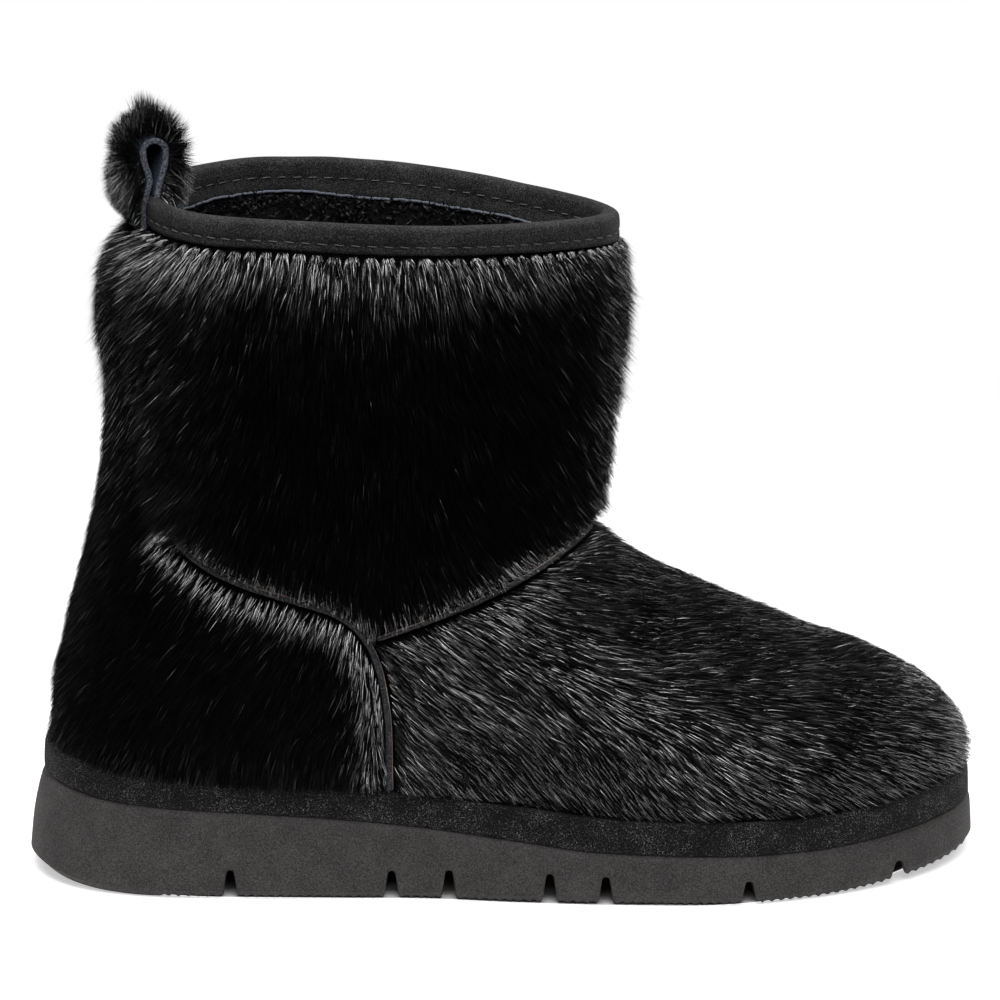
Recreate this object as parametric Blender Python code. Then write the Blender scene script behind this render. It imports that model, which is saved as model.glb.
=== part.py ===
"""Fur ankle boot for the right foot, standing on its sole.

Millimetres inside this script, metres in the scene. X runs from heel to toe, -Y is the outer
(lateral) side and Z is up, with the floor at 0.

Every closed outline of the boot is a ring read by its turn: 0 at the back, pi at the front,
the outer side first. A ring's width comes from its fullness, the half width that an ellipse
of the ring's length would need to touch it there. Rows of the tables are joined by smooth
monotone curves.
"""

import bisect
import math

import bmesh
import bpy
from mathutils import Vector

MM = 0.001
CENTRE_X = 1.3  # moves the heel's own axes to the middle of the whole boot
CENTRE_Y = 3.3

GAP = 0.3  # between pieces that meet
STRIP_HEIGHT = 9.4  # midsole strip
WALL = 6.0  # hide, its pressed nap and the fleece behind it
INSOLE = 3.2

COLLAR_BACK, COLLAR_FRONT = -105.0, 32.2
COLLAR_HEIGHT, COLLAR_FALL = 196.0, 0.07  # height at x = 0, and how it falls towards the toe
MEDIAL_RISE = 2.6  # of the collar's middle on the inner side of the leg
BINDING_DROP = 8.0  # how far the binding comes down inside and outside
BINDING_SKIN = 1.3
NECK = 2.4  # the upper's edge inside the binding
SHOULDER_DROP = BINDING_DROP + 0.4  # where the fur ends, just under the binding

PIPING_RADIUS = 1.0
SEAM_RADIUS = 2.9  # the valley that a seam leaves in the fur
PIPING_DEPTH = 1.3  # the piping's middle under the surface of the fur

STRAP_WIDTH, STRAP_THICK = 21.0, 1.7
STRAP_BOW = 0.0105  # how the strap bends round the back of the collar, per mm
LOOP_INSIDE = 6.6
LOOP_TOP = 216.6
LOOP_FOOT = 196.4

RING_COLUMNS = 48
SOLE_COLUMNS = 56


class Table:
    """Rows of named columns, read between the rows by a monotone cubic over the first column."""

    def __init__(self, columns, *rows):
        names = columns.split()
        self.columns = dict(zip(names, zip(*sorted(rows))))
        self.key = self.columns[names[0]]

    def at(self, column, key):
        return monotone(self.key, self.columns[column], key)


def monotone(keys, values, key):
    """The value at key on a smooth curve through the points that never overshoots them."""
    key = min(max(key, keys[0]), keys[-1])
    spans = [b - a for a, b in zip(keys, keys[1:])]
    slopes = [(b - a) / span for a, b, span in zip(values, values[1:], spans)]

    def tangent(i):
        if i in (0, len(keys) - 1):
            return slopes[min(i, len(slopes) - 1)]
        if slopes[i - 1] * slopes[i] <= 0:
            return 0.0
        before, after = 2 * spans[i] + spans[i - 1], spans[i] + 2 * spans[i - 1]
        return (before + after) / (before / slopes[i - 1] + after / slopes[i])

    i = min(bisect.bisect_right(keys, key), len(spans)) - 1
    t = (key - keys[i]) / spans[i]
    return (
        (2 * t**3 - 3 * t**2 + 1) * values[i]
        + (t**3 - 2 * t**2 + t) * spans[i] * tangent(i)
        + (3 * t**2 - 2 * t**3) * values[i + 1]
        + (t**3 - t**2) * spans[i] * tangent(i + 1)
    )


# ---------------------------------------------------------------- sizes along the boot

SOLE = Table(
    "x top bottom",
    (-141, 29.8, 3.6),
    (-135, 29.5, 2.2),
    (-128, 28.6, 1.0),
    (-118, 27.3, 0.2),
    (-109, 26.7, 0.0),
    (-80, 25.2, 0.0),
    (-51, 23.4, 0.0),
    (-23, 20.6, 0.0),
    (0, 17.9, 0.0),
    (23, 15.1, 0.0),
    (51, 14.2, 0.0),
    (85, 13.9, 0.0),
    (112, 15.1, 1.2),
    (126, 16.0, 2.2),
    (140, 16.6, 3.6),
)

# Fullness of the sole's outline on the floor, by the share of its length from the heel.
OUTLINE = Table(
    "share lateral medial",
    (0.00, 65.0, 64.0),
    (0.07, 57.0, 55.5),
    (0.12, 52.5, 51.0),
    (0.22, 45.6, 43.6),
    (0.30, 43.4, 39.0),
    (0.38, 42.7, 36.0),
    (0.50, 47.3, 38.0),
    (0.63, 54.0, 46.5),
    (0.76, 61.5, 55.0),
    (0.90, 63.4, 62.5),
    (1.00, 61.5, 62.5),
)

# Rings of the outsole: their ends, how far the sides come in, and their place from the
# sole's bottom (0) to its top (1), with a fixed distance from that place.
OUTSOLE_RINGS = Table(
    "order back front inset place offset",
    (0, -138.0, 137.4, 1.2, 0, 0.0),
    (1, -141.0, 138.4, 0.0, 0, 2.2),
    (2, -139.8, 138.2, 0.6, 0.5, 0.0),
    (3, -136.8, 137.7, 1.3, 1, -1.2),
    (4, -135.8, 136.8, 2.2, 1, 0.0),
)
MIDSOLE_RINGS = Table(
    "order back front inset rise",
    (0, -135.8, 136.7, 2.3, 0.0),
    (1, -136.5, 137.4, 1.6, 0.8),
    (2, -136.2, 137.1, 1.8, STRIP_HEIGHT - 1.6),
    (3, -134.8, 136.0, 3.2, STRIP_HEIGHT),
)

# Where the flexing grooves cross the sole, and how deep they are.
GROOVES = Table(
    "x depth",
    (-83.0, 8.0),
    (-36.5, 8.0),
    (-20.0, 8.5),
    (8.8, 8.5),
    (24.8, 8.0),
    (66.0, 6.5),
    (111.7, 5.0),
)
GROOVE_WIDTH, GROOVE_TIP, GROOVE_FLARE = 3.3, 1.5, 1.2

# The upper's back and front outlines from the side, on the fur.
BACK_LINE = (
    (35.5, -134.5),
    (50, -132.4),
    (62, -130.5),
    (76, -127.2),
    (91, -123.2),
    (105, -119.6),
    (117, -117.2),
    (141, -114.6),
    (169, -114.4),
    (178, -113.0),
    (186, -109.9),
    (192.9, -105.8),
)
FRONT_LINE = (
    (25.5, 136.0),
    (28, 135.5),
    (33, 134.2),
    (40.3, 131.0),
    (46.3, 126.3),
    (50.9, 120.6),
    (57.2, 108.9),
    (66, 85),
    (77, 61),
    (85.9, 43),
    (94, 31.6),
    (98, 27.4),
    (101.5, 25.4),
    (106, 24.9),
    (124, 27.4),
    (145.5, 29.9),
    (166, 32.6),
    (175, 32.9),
    (183.4, 32.7),
)

# Fullness of the upper by level, from the sole (0) to the binding (1). The columns are
# places along the ring: heel, waist, instep, ball and toe.
SIDE_COLUMNS = "level heel rear waist middle instep ball fore toe"
SIDE_SHARES = (0, 0.17, 0.34, 0.5, 0.66, 0.8, 0.9, 1)
SHAFT_SIDES = (
    (0.315, 60, 49.8, 44.7, 43.6, 43.6, 43.5, 41.5, 39),
    (0.406, 58, 49.3, 45.2, 43.8, 43.4, 41.5, 39, 36.5),
    (0.5, 56, 49.6, 46.2, 44.4, 43, 40.5, 37.8, 34.5),
    (0.74, 54.5, 50.9, 47.6, 45.6, 43.8, 41, 38.2, 35),
    (0.9, 55, 52.3, 48.3, 46.2, 44, 41, 38, 34.5),
    (1, 57.5, 53.2, 47.9, 44.6, 41.6, 37.5, 35.4, 34.8),
)
SIDES = {
    "lateral": Table(
        SIDE_COLUMNS,
        (0, 62, 47.5, 40.8, 41.5, 51.5, 58.5, 60, 57),
        (0.073, 62.5, 48, 41.5, 42.5, 51, 58, 61.5, 60),
        (0.15, 62.5, 49, 42.8, 43.5, 49, 54.5, 55.5, 54),
        (0.224, 61.5, 49.7, 43.2, 43, 46.5, 49.5, 50, 49),
        *SHAFT_SIDES,
    ),
    "medial": Table(
        SIDE_COLUMNS,
        (0, 61, 45.5, 36.5, 34.5, 44, 53.5, 58.5, 58),
        (0.073, 61.5, 46.5, 38, 36.5, 45, 53, 58.5, 59),
        (0.15, 61.5, 47.6, 40.2, 38.8, 44.5, 51, 54, 53.5),
        (0.224, 61, 48.6, 41.5, 40.2, 43.5, 47.5, 49, 48.5),
        *SHAFT_SIDES,
    ),
}
TOE_SWING, SWING_START, SWING_LEVEL = 3.0, 40.0, 0.3  # the toe leans to the inner side

COLLAR = Table(
    "share fullness",
    (0.00, 57.0),
    (0.20, 51.6),
    (0.35, 46.7),
    (0.50, 43.8),
    (0.65, 41.0),
    (0.80, 36.7),
    (0.90, 34.6),
    (1.00, 34.0),
)

# The seam of the heel counter in the side view, from the pull loop down the back and round
# to the sole. It is the same on either side.
SEAM_SIDES = {"lateral": 1, "medial": -1}
COUNTER_SEAM = (
    (-104.9, 189.0),
    (-106.2, 180.0),
    (-106.0, 165.0),
    (-105.0, 145.0),
    (-104.2, 124.0),
    (-102.2, 117.2),
    (-99.6, 110.5),
    (-95.2, 104.4),
    (-88.2, 99.2),
    (-77.5, 94.4),
    (-63.4, 90.0),
    (-52.5, 86.3),
    (-45.6, 81.0),
    (-41.2, 73.0),
    (-38.5, 62.5),
    (-37.2, 50.0),
    (-36.9, 31.0),
)
# The vamp's seam lies in one slanting plane, and starts behind the counter's seam.
VAMP_SEAM_START = -43.5
VAMP_SEAM_HEIGHT, VAMP_SEAM_RISE = 77.5, 0.35
VAMP_SEAM_STEPS = 26
VAMP_PIPING_CLEARANCE = 4.6  # its ends stop short of the counter's piping


# ---------------------------------------------------------------- the boot's own functions


def share_of(turn):
    return (1 - math.cos(turn)) / 2


def feather(x):
    """Height of the line where the upper meets the midsole."""
    return SOLE.at("top", x) + GAP + STRIP_HEIGHT + GAP


def collar_height(x, turn=0.0):
    """Height of the collar's top, which falls to the front and is higher on the medial side."""
    medial = max(-math.sin(turn), 0) ** 3
    return COLLAR_HEIGHT - COLLAR_FALL * min(x, COLLAR_FRONT) + MEDIAL_RISE * medial


def shoulder(x, turn=0.0):
    """Height of the fur's upper edge, just under the binding."""
    return collar_height(x, turn) - SHOULDER_DROP


def level_of(x, z):
    return (z - feather(x)) / (shoulder(x) - feather(x))


BACK = Table("level x", *((level_of(x, z), x) for z, x in BACK_LINE))
FRONT = Table("level x", *((level_of(x, z), x) for z, x in FRONT_LINE))


def side_fullness(turn, level):
    side = SIDES["lateral" if math.sin(turn) >= 0 else "medial"]
    values = [side.at(column, level) for column in SIDE_COLUMNS.split()[1:]]
    return monotone(SIDE_SHARES, values, share_of(turn))


def fur(turn, level):
    """A point of the upper's outer surface."""
    back, front = BACK.at("x", level), FRONT.at("x", level)
    x = back + (front - back) * share_of(turn)
    swing = max(x - SWING_START, 0) / (FRONT.at("x", 0) - SWING_START)
    middle = TOE_SWING * swing**1.5 * max(1 - level / SWING_LEVEL, 0)
    y = middle - side_fullness(turn, level) * math.sin(turn)
    return Vector((x, y, feather(x) + (shoulder(x, turn) - feather(x)) * level))


def under_fur(turn, level, depth):
    """The point that lies depth inside the fur, square to it."""
    step = 0.004
    low, high = max(level - step, 0), min(level + step, 1)
    along = fur(turn + step, level) - fur(turn - step, level)
    up = fur(turn, high) - fur(turn, low)
    return fur(turn, level) - along.cross(up).normalized() * depth


def ring_point(turn, back, front, lateral, medial):
    """A flat ring's point from its ends and its fullness on either side."""
    fullness = lateral if math.sin(turn) >= 0 else medial
    return Vector((back + (front - back) * share_of(turn), -fullness * math.sin(turn), 0))


def sole_point(turn, back, front, inset):
    share = share_of(turn)
    lateral, medial = (OUTLINE.at(side, share) - inset for side in ("lateral", "medial"))
    return ring_point(turn, back, front, lateral, medial)


def collar_point(turn, inset, drop):
    """A point of the collar, inset from its outer outline and drop below its top."""

    def outline(at):
        fullness = COLLAR.at("fullness", share_of(at))
        return ring_point(at, COLLAR_BACK, COLLAR_FRONT, fullness, fullness)

    along = outline(turn + 0.01) - outline(turn - 0.01)
    point = outline(turn) - Vector((along.y, -along.x, 0)).normalized() * inset
    point.z = collar_height(point.x, turn) - drop
    return point


# ---------------------------------------------------------------- Blender helpers


def clear_scene():
    for obj in list(bpy.data.objects):
        bpy.data.objects.remove(obj, do_unlink=True)


def material(name, colour, roughness):
    made = bpy.data.materials.new(name)
    made.use_nodes = True
    shader = made.node_tree.nodes["Principled BSDF"]
    shader.inputs["Base Color"].default_value = (*colour, 1)
    shader.inputs["Roughness"].default_value = roughness
    shader.inputs["Metallic"].default_value = 0
    return made


def to_scene(point):
    return Vector((point.x + CENTRE_X, point.y + CENTRE_Y, point.z)) * MM


def new_object(name, data, made_of, collection=None):
    obj = bpy.data.objects.new(name, data)
    (collection or bpy.context.scene.collection).objects.link(obj)
    data.materials.append(made_of)
    return obj


def mesh_object(name, build, made_of, collection=None):
    """Runs build on an empty bmesh and turns the result into an object."""
    shape = bmesh.new()
    build(shape)
    bmesh.ops.recalc_face_normals(shape, faces=shape.faces)
    mesh = bpy.data.meshes.new(name)
    shape.to_mesh(mesh)
    shape.free()
    return new_object(name, mesh, made_of, collection)


def bridge(shape, ring, following):
    """Faces between two closed rings of vertices."""
    for i, vertex in enumerate(ring):
        after = (i + 1) % len(ring)
        shape.faces.new((vertex, ring[after], following[after], following[i]))


def ladder(shape, ring):
    """Closes a ring whose two sides share their x, with a rung at each x."""
    half = len(ring) // 2
    for i in range(half):
        outer, inner = (ring[i], ring[i + 1]), (ring[-i - 1], ring[-i])
        corners = dict.fromkeys((*outer, *inner))
        shape.faces.new(list(corners))


def add_rings(shape, rings):
    """Vertices for each ring of points, with faces between neighbouring rings."""
    made = [[shape.verts.new(to_scene(point)) for point in ring] for ring in rings]
    for ring, following in zip(made, made[1:]):
        bridge(shape, ring, following)
    return made


def turns(count):
    return [2 * math.pi * i / count for i in range(count)]


def helper_collection():
    made = bpy.data.collections.new("cutters")
    made.hide_render = True
    bpy.context.scene.collection.children.link(made)
    return made


def tube(name, points, radius, made_of, collection=None):
    curve = bpy.data.curves.new(name, "CURVE")
    curve.dimensions = "3D"
    curve.bevel_depth = radius * MM
    curve.bevel_resolution = 2
    curve.use_fill_caps = True
    spline = curve.splines.new("POLY")
    spline.points.add(len(points) - 1)
    for knot, point in zip(spline.points, points):
        knot.co = (*to_scene(point), 1)
    return new_object(name, curve, made_of, collection)


def cutter_from(obj, collection):
    """A closed mesh of a curve object, for a Boolean."""
    graph = bpy.context.evaluated_depsgraph_get()
    mesh = bpy.data.meshes.new_from_object(obj.evaluated_get(graph))
    shape = bmesh.new()
    shape.from_mesh(mesh)
    bmesh.ops.remove_doubles(shape, verts=shape.verts, dist=1e-6)
    bmesh.ops.recalc_face_normals(shape, faces=shape.faces)
    shape.to_mesh(mesh)
    shape.free()
    cutter = bpy.data.objects.new(obj.name + "_mesh", mesh)
    collection.objects.link(cutter)
    bpy.data.objects.remove(obj, do_unlink=True)
    return cutter


def cut(obj, cutter):
    cutter.hide_render = True
    cutter.display_type = "WIRE"
    modifier = obj.modifiers.new("cut_" + cutter.name, "BOOLEAN")
    modifier.operation = "DIFFERENCE"
    modifier.solver = "EXACT"
    modifier.object = cutter


# ---------------------------------------------------------------- the pieces


def plate(rings, ring_height):
    """A builder of a sole layer from a table of rings, closed above and below."""

    def build(shape):
        layers = []
        for order in rings.key:
            back, front, inset = (rings.at(column, order) for column in ("back", "front", "inset"))
            layer = [sole_point(turn, back, front, inset) for turn in turns(SOLE_COLUMNS)]
            for point in layer:
                point.z = ring_height(order, point.x)
            layers.append(layer)
        made = add_rings(shape, layers)
        ladder(shape, made[0])
        ladder(shape, made[-1])

    return build


def outsole_height(order, x):
    bottom, top = SOLE.at("bottom", x), SOLE.at("top", x)
    place, offset = OUTSOLE_RINGS.at("place", order), OUTSOLE_RINGS.at("offset", order)
    return bottom + (top - bottom) * place + offset


def midsole_height(order, x):
    return SOLE.at("top", x) + GAP + MIDSOLE_RINGS.at("rise", order)


def groove_cutter(x, depth, collection, made_of):
    """A bar across the sole, round at its top and flared at the floor."""
    floor = SOLE.at("bottom", x)
    below, half, tip = floor - 4, GROOVE_WIDTH / 2, GROOVE_TIP / 2
    profile = [(half + GROOVE_FLARE, below), (half + GROOVE_FLARE, floor - 0.2), (half, floor + 1)]
    for step in range(5):
        angle = math.pi / 2 * step / 4
        profile.append((tip * math.cos(angle), floor + depth - tip + tip * math.sin(angle)))
    profile += [(-across, z) for across, z in reversed(profile[:-1])]

    def build(shape):
        ends = []
        for y in (-80, 80):
            end = [shape.verts.new(to_scene(Vector((x + across, y, z)))) for across, z in profile]
            shape.faces.new(end)
            ends.append(end)
        bridge(shape, *ends)

    return mesh_object(f"groove_{x:.0f}", build, made_of, collection)


def build_outsole(made_of, cutters):
    outsole = mesh_object("outsole", plate(OUTSOLE_RINGS, outsole_height), made_of)
    for x, depth in zip(GROOVES.key, GROOVES.columns["depth"]):
        cut(outsole, groove_cutter(x, depth, cutters, made_of))


def build_midsole(made_of):
    mesh_object("midsole", plate(MIDSOLE_RINGS, midsole_height), made_of)


def build_insole(made_of):
    """The footbed, cut to the inside of the upper."""

    def build(shape):
        layers = []
        for rise in (GAP, GAP + INSOLE):
            layer = []
            for turn in turns(RING_COLUMNS):
                level = rise / (shoulder(0) - feather(0))
                point = under_fur(turn, level, WALL + 2 * GAP)
                point.z = feather(point.x) - GAP + rise
                layer.append(point)
            layers.append(layer)
        for ring in add_rings(shape, layers):
            ladder(shape, ring)

    mesh_object("insole", build, made_of)


OUTER_LEVELS = (
    0, 0.03, 0.073, 0.11, 0.15, 0.187, 0.224, 0.27, 0.315, 0.36, 0.406,
    0.45, 0.49, 0.54, 0.62, 0.7, 0.78, 0.85, 0.9, 0.94, 0.975, 1,
)  # fmt: skip
INNER_LEVELS = (1, 0.95, 0.88, 0.78, 0.66, 0.56, 0.49, 0.43, 0.37, 0.3, 0.24, 0.18, 0.12, 0.06, 0)


def upper_section(turn):
    """The upper's wall at one turn: up the outside, round the neck and down the inside."""
    section = [fur(turn, level) for level in OUTER_LEVELS]
    outer, inner = BINDING_SKIN + GAP, BINDING_SKIN + GAP + NECK
    top = BINDING_SKIN + GAP
    for inset, drop in ((outer, SHOULDER_DROP), (outer, top), (inner, top), (inner, SHOULDER_DROP)):
        section.append(collar_point(turn, inset, drop))
    for level in INNER_LEVELS:
        point = under_fur(turn, level, WALL)
        if level in (0, 1):
            point.z = (feather, shoulder)[level](point.x)
        section.append(point)
    return section


def build_upper(made_of, cutters):
    """Hollow from the collar to the sole, with a valley along each seam."""

    def build(shape):
        rows = list(zip(*(upper_section(turn) for turn in turns(RING_COLUMNS))))
        made = add_rings(shape, rows)
        bridge(shape, made[-1], made[0])

    upper = mesh_object("upper", build, made_of)
    seams = {"vamp_seam": vamp_path(0, 0)}
    for name, side in SEAM_SIDES.items():
        path = counter_path(side, 0)
        below = path[-1] + (path[-1] - path[-2]).normalized() * 2 * SEAM_RADIUS
        seams["counter_seam_" + name] = [*path, below]
    for name, path in seams.items():
        cut(upper, cutter_from(tube(name, path, SEAM_RADIUS, made_of), cutters))


def turn_at(x, z, side):
    """The turn and level of the fur at a place of the side view, on one of SEAM_SIDES."""
    level = level_of(x, z)
    back, front = BACK.at("x", level), FRONT.at("x", level)
    share = min(max((x - back) / (front - back), 0), 1)
    return side * math.acos(1 - 2 * share), level


def counter_path(side, depth):
    return [under_fur(*turn_at(x, z, side), depth) for x, z in COUNTER_SEAM]


def vamp_path(depth, clearance):
    """Across the instep from one counter seam to the other, stopping clearance short of them."""

    def level_on_plane(turn):
        """Halves the span of levels until the fur at this turn lies in the seam's plane."""
        low, high = 0.0, 1.0
        for _ in range(30):
            level = (low + high) / 2
            point = fur(turn, level)
            over = point.z - VAMP_SEAM_HEIGHT - VAMP_SEAM_RISE * (point.x - VAMP_SEAM_START)
            low, high = (low, level) if over > 0 else (level, high)
        return level

    start = turn_at(VAMP_SEAM_START + clearance, VAMP_SEAM_HEIGHT, 1)[0]
    path = []
    for i in range(VAMP_SEAM_STEPS + 1):
        turn = start + (2 * math.pi - 2 * start) * i / VAMP_SEAM_STEPS
        path.append(under_fur(turn, level_on_plane(turn), depth))
    return path


def build_piping(made_of):
    for name, side in SEAM_SIDES.items():
        tube(f"counter_piping_{name}", counter_path(side, PIPING_DEPTH), PIPING_RADIUS, made_of)
    tube("vamp_piping", vamp_path(PIPING_DEPTH, VAMP_PIPING_CLEARANCE), PIPING_RADIUS, made_of)


def build_binding(made_of):
    """The folded band over the upper's edge."""
    full = 2 * BINDING_SKIN + 2 * GAP + NECK
    inner = full - BINDING_SKIN
    section = (
        (0.0, BINDING_DROP),
        (0.0, 1.4),
        (0.5, 0.4),
        (1.5, 0.0),
        (full - 1.5, 0.0),
        (full - 0.5, 0.4),
        (full, 1.4),
        (full, BINDING_DROP),
        (inner, BINDING_DROP),
        (inner, BINDING_SKIN),
        (BINDING_SKIN, BINDING_SKIN),
        (BINDING_SKIN, BINDING_DROP),
    )

    def build(shape):
        around = turns(RING_COLUMNS)
        rows = [[collar_point(turn, inset, drop) for turn in around] for inset, drop in section]
        made = add_rings(shape, rows)
        bridge(shape, made[-1], made[0])

    mesh_object("collar_binding", build, made_of)


# Across the pull loop: half widths and heights over the strap's inner face. The last five
# carry the fur.
NAP_SIDE, NAP_HEIGHT = 3.0, 5.2
LOCK_REACH, LOCK_HANG = 2.6, 2.4


def loop_path():
    """The strap's inner face in the side view, with the way out of the loop at each place."""
    half = LOOP_INSIDE / 2
    middle = COLLAR_BACK - 1.3 * GAP + half
    top = LOOP_TOP - half
    heights = [LOOP_FOOT + (top - LOOP_FOOT) * i / 8 for i in range(8)]
    path = [((middle - half, z), (-1, 0)) for z in heights]
    for i in range(9):
        angle = math.pi * (1 - i / 8)
        way = (math.cos(angle), math.sin(angle))
        path.append(((middle + half * way[0], top + half * way[1]), way))
    path += [((middle + half, z), (1, 0)) for z in reversed(heights)]
    return path


def loop_section(place, way, row, last):
    """One closed section of strap and fur, with every second lock standing out."""
    edge = STRAP_WIDTH / 2
    outline = [(edge * i / 2, 0) for i in range(-2, 3)] + [(edge, STRAP_THICK)]
    fur_starts = len(outline)
    nap = [(edge + NAP_SIDE, 0.45), (edge * 0.75, 0.9), (edge * 0.25, 1.0)]
    nap += [(-across, height) for across, height in reversed(nap)]
    outline += [(across, STRAP_THICK + NAP_HEIGHT * height) for across, height in nap]
    outline.append((-edge, STRAP_THICK))
    points = []
    for i, (across, height) in enumerate(outline):
        lock = fur_starts <= i < len(outline) - 1 and (i + row) % 2 and 0 < row < last
        out = height + (LOCK_REACH if lock else 0)
        x = place[0] + way[0] * out + STRAP_BOW * across**2
        z = place[1] + way[1] * out - (LOCK_HANG * abs(way[0]) if lock else 0)
        points.append(Vector((x, across, max(z, LOOP_FOOT))))
    return points


def build_pull_loop(made_of):
    """A folded strap of the same hide, with coarse locks of its long fur."""

    def build(shape):
        path = loop_path()
        last = len(path) - 1
        rows = [loop_section(place, way, row, last) for row, (place, way) in enumerate(path)]
        made = add_rings(shape, rows)
        shape.faces.new(made[0])
        shape.faces.new(made[-1])

    mesh_object("pull_loop", build, made_of)


def main():
    clear_scene()
    cutters = helper_collection()
    fur_finish = material("fur", (0.012, 0.012, 0.013), 0.6)
    leather = material("leather", (0.035, 0.034, 0.035), 0.75)
    suede = material("suede", (0.022, 0.021, 0.022), 0.9)
    rubber = material("rubber", (0.07, 0.066, 0.065), 0.7)
    fleece = material("fleece", (0.012, 0.012, 0.013), 0.95)
    build_outsole(rubber, cutters)
    build_midsole(suede)
    build_insole(fleece)
    build_upper(fur_finish, cutters)
    build_piping(leather)
    build_binding(leather)
    build_pull_loop(fur_finish)


main()
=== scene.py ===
"""Looks of the fur ankle boot for the right foot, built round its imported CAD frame.

Lengths are millimetres in the boot's own axes, as in the CAD source: X from heel to toe, -Y the
outer (lateral) side, Z up from the floor. to_scene turns them into the scene's metres. The CAD
source's tables are repeated here, because this script reads nothing but the frame.

The hair is modelled: each hair is a narrow kite of two triangles, from its root in the hide
past its widest place to its tip. The hairs of one panel, side and kind share a mesh or a few.
"""

import math
from types import SimpleNamespace as Values

import bpy
import numpy as np
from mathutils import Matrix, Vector, kdtree, noise


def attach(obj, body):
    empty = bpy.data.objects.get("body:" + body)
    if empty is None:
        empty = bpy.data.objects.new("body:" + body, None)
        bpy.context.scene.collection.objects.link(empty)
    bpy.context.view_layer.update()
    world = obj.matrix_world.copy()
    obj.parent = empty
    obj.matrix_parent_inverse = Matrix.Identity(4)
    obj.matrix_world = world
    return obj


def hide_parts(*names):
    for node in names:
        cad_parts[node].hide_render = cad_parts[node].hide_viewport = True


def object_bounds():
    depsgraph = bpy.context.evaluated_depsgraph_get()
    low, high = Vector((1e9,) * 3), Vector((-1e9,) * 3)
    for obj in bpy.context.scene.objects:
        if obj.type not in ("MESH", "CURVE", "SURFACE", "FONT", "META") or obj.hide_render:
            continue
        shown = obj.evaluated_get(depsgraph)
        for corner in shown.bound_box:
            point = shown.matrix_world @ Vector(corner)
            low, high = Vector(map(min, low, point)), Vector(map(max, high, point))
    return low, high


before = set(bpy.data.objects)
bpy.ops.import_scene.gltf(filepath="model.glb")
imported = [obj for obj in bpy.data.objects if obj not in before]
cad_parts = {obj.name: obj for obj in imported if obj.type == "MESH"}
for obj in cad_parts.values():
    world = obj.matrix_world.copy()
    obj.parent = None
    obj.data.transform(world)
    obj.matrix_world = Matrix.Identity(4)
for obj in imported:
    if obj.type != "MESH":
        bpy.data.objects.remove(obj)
CAD_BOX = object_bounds()

MM = 0.001
TAU = 2 * math.pi
CENTRE = np.array((1.3, 3.3, 0.0))  # moves the heel's own axes to the middle of the whole boot
SEED = 7

STRIP_HEIGHT, GAP, WALL, INSOLE = 9.4, 0.3, 6.0, 3.2
COLLAR_BACK, COLLAR_FRONT = -105.0, 32.2
COLLAR_HEIGHT, COLLAR_FALL, MEDIAL_RISE = 196.0, 0.07, 2.6
BACK_DIP, MEDIAL_SPARE = 2.0, 0.6  # at the collar's back, and the share spared on its medial side
BINDING_DROP, BINDING_SKIN, NECK = 8.0, 1.3, 2.4
SHOULDER_DROP = BINDING_DROP + 0.4
BINDING_FULL = 2 * BINDING_SKIN + 2 * GAP + NECK


def smooth_step(value):
    value = np.clip(value, 0, 1)
    return value * value * (3 - 2 * value)


def bell(value, reach):
    return np.exp(-((value / reach) ** 2))


class Ramp:
    """0 up to start and 1 from width further on; a negative width runs the other way."""

    def __init__(self, start, width):
        self.start, self.width = start, width

    def __call__(self, value):
        return smooth_step((value - self.start) / self.width)


COLLAR_DIPS = Ramp(-64, -34)  # along X


# ---------------------------------------------------------------- tables, as in the CAD source


def monotone(keys, values, at):
    """Values at each place on smooth curves through the points that never overshoot them.

    values is one row for all the places, or a row for each place.
    """
    keys = np.asarray(keys, float)
    values = np.atleast_2d(np.asarray(values, float))
    at = np.clip(np.atleast_1d(at), keys[0], keys[-1])
    spans = np.diff(keys)
    slopes = np.diff(values, axis=1) / spans
    before = 2 * spans[1:] + spans[:-1]
    after = spans[1:] + 2 * spans[:-1]
    same_way = slopes[:, :-1] * slopes[:, 1:] > 0
    with np.errstate(divide="ignore", invalid="ignore"):
        inner = (before + after) / (before / slopes[:, :-1] + after / slopes[:, 1:])
    inner = np.where(same_way, inner, 0.0)
    tangents = np.concatenate((slopes[:, :1], inner, slopes[:, -1:]), axis=1)
    i = np.clip(np.searchsorted(keys, at, side="right") - 1, 0, len(spans) - 1)
    row = np.arange(len(at)) if len(values) > 1 else 0
    t = (at - keys[i]) / spans[i]
    return (
        (2 * t**3 - 3 * t**2 + 1) * values[row, i]
        + (t**3 - 2 * t**2 + t) * spans[i] * tangents[row, i]
        + (3 * t**2 - 2 * t**3) * values[row, i + 1]
        + (t**3 - t**2) * spans[i] * tangents[row, i + 1]
    )


class Table:
    """Rows of named columns, read between the rows by a monotone cubic over the first column."""

    def __init__(self, columns, *rows):
        names = columns.split()
        self.columns = dict(zip(names, zip(*sorted(rows))))
        self.key = self.columns[names[0]]

    def at(self, column, key):
        return monotone(self.key, self.columns[column], key)


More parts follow.
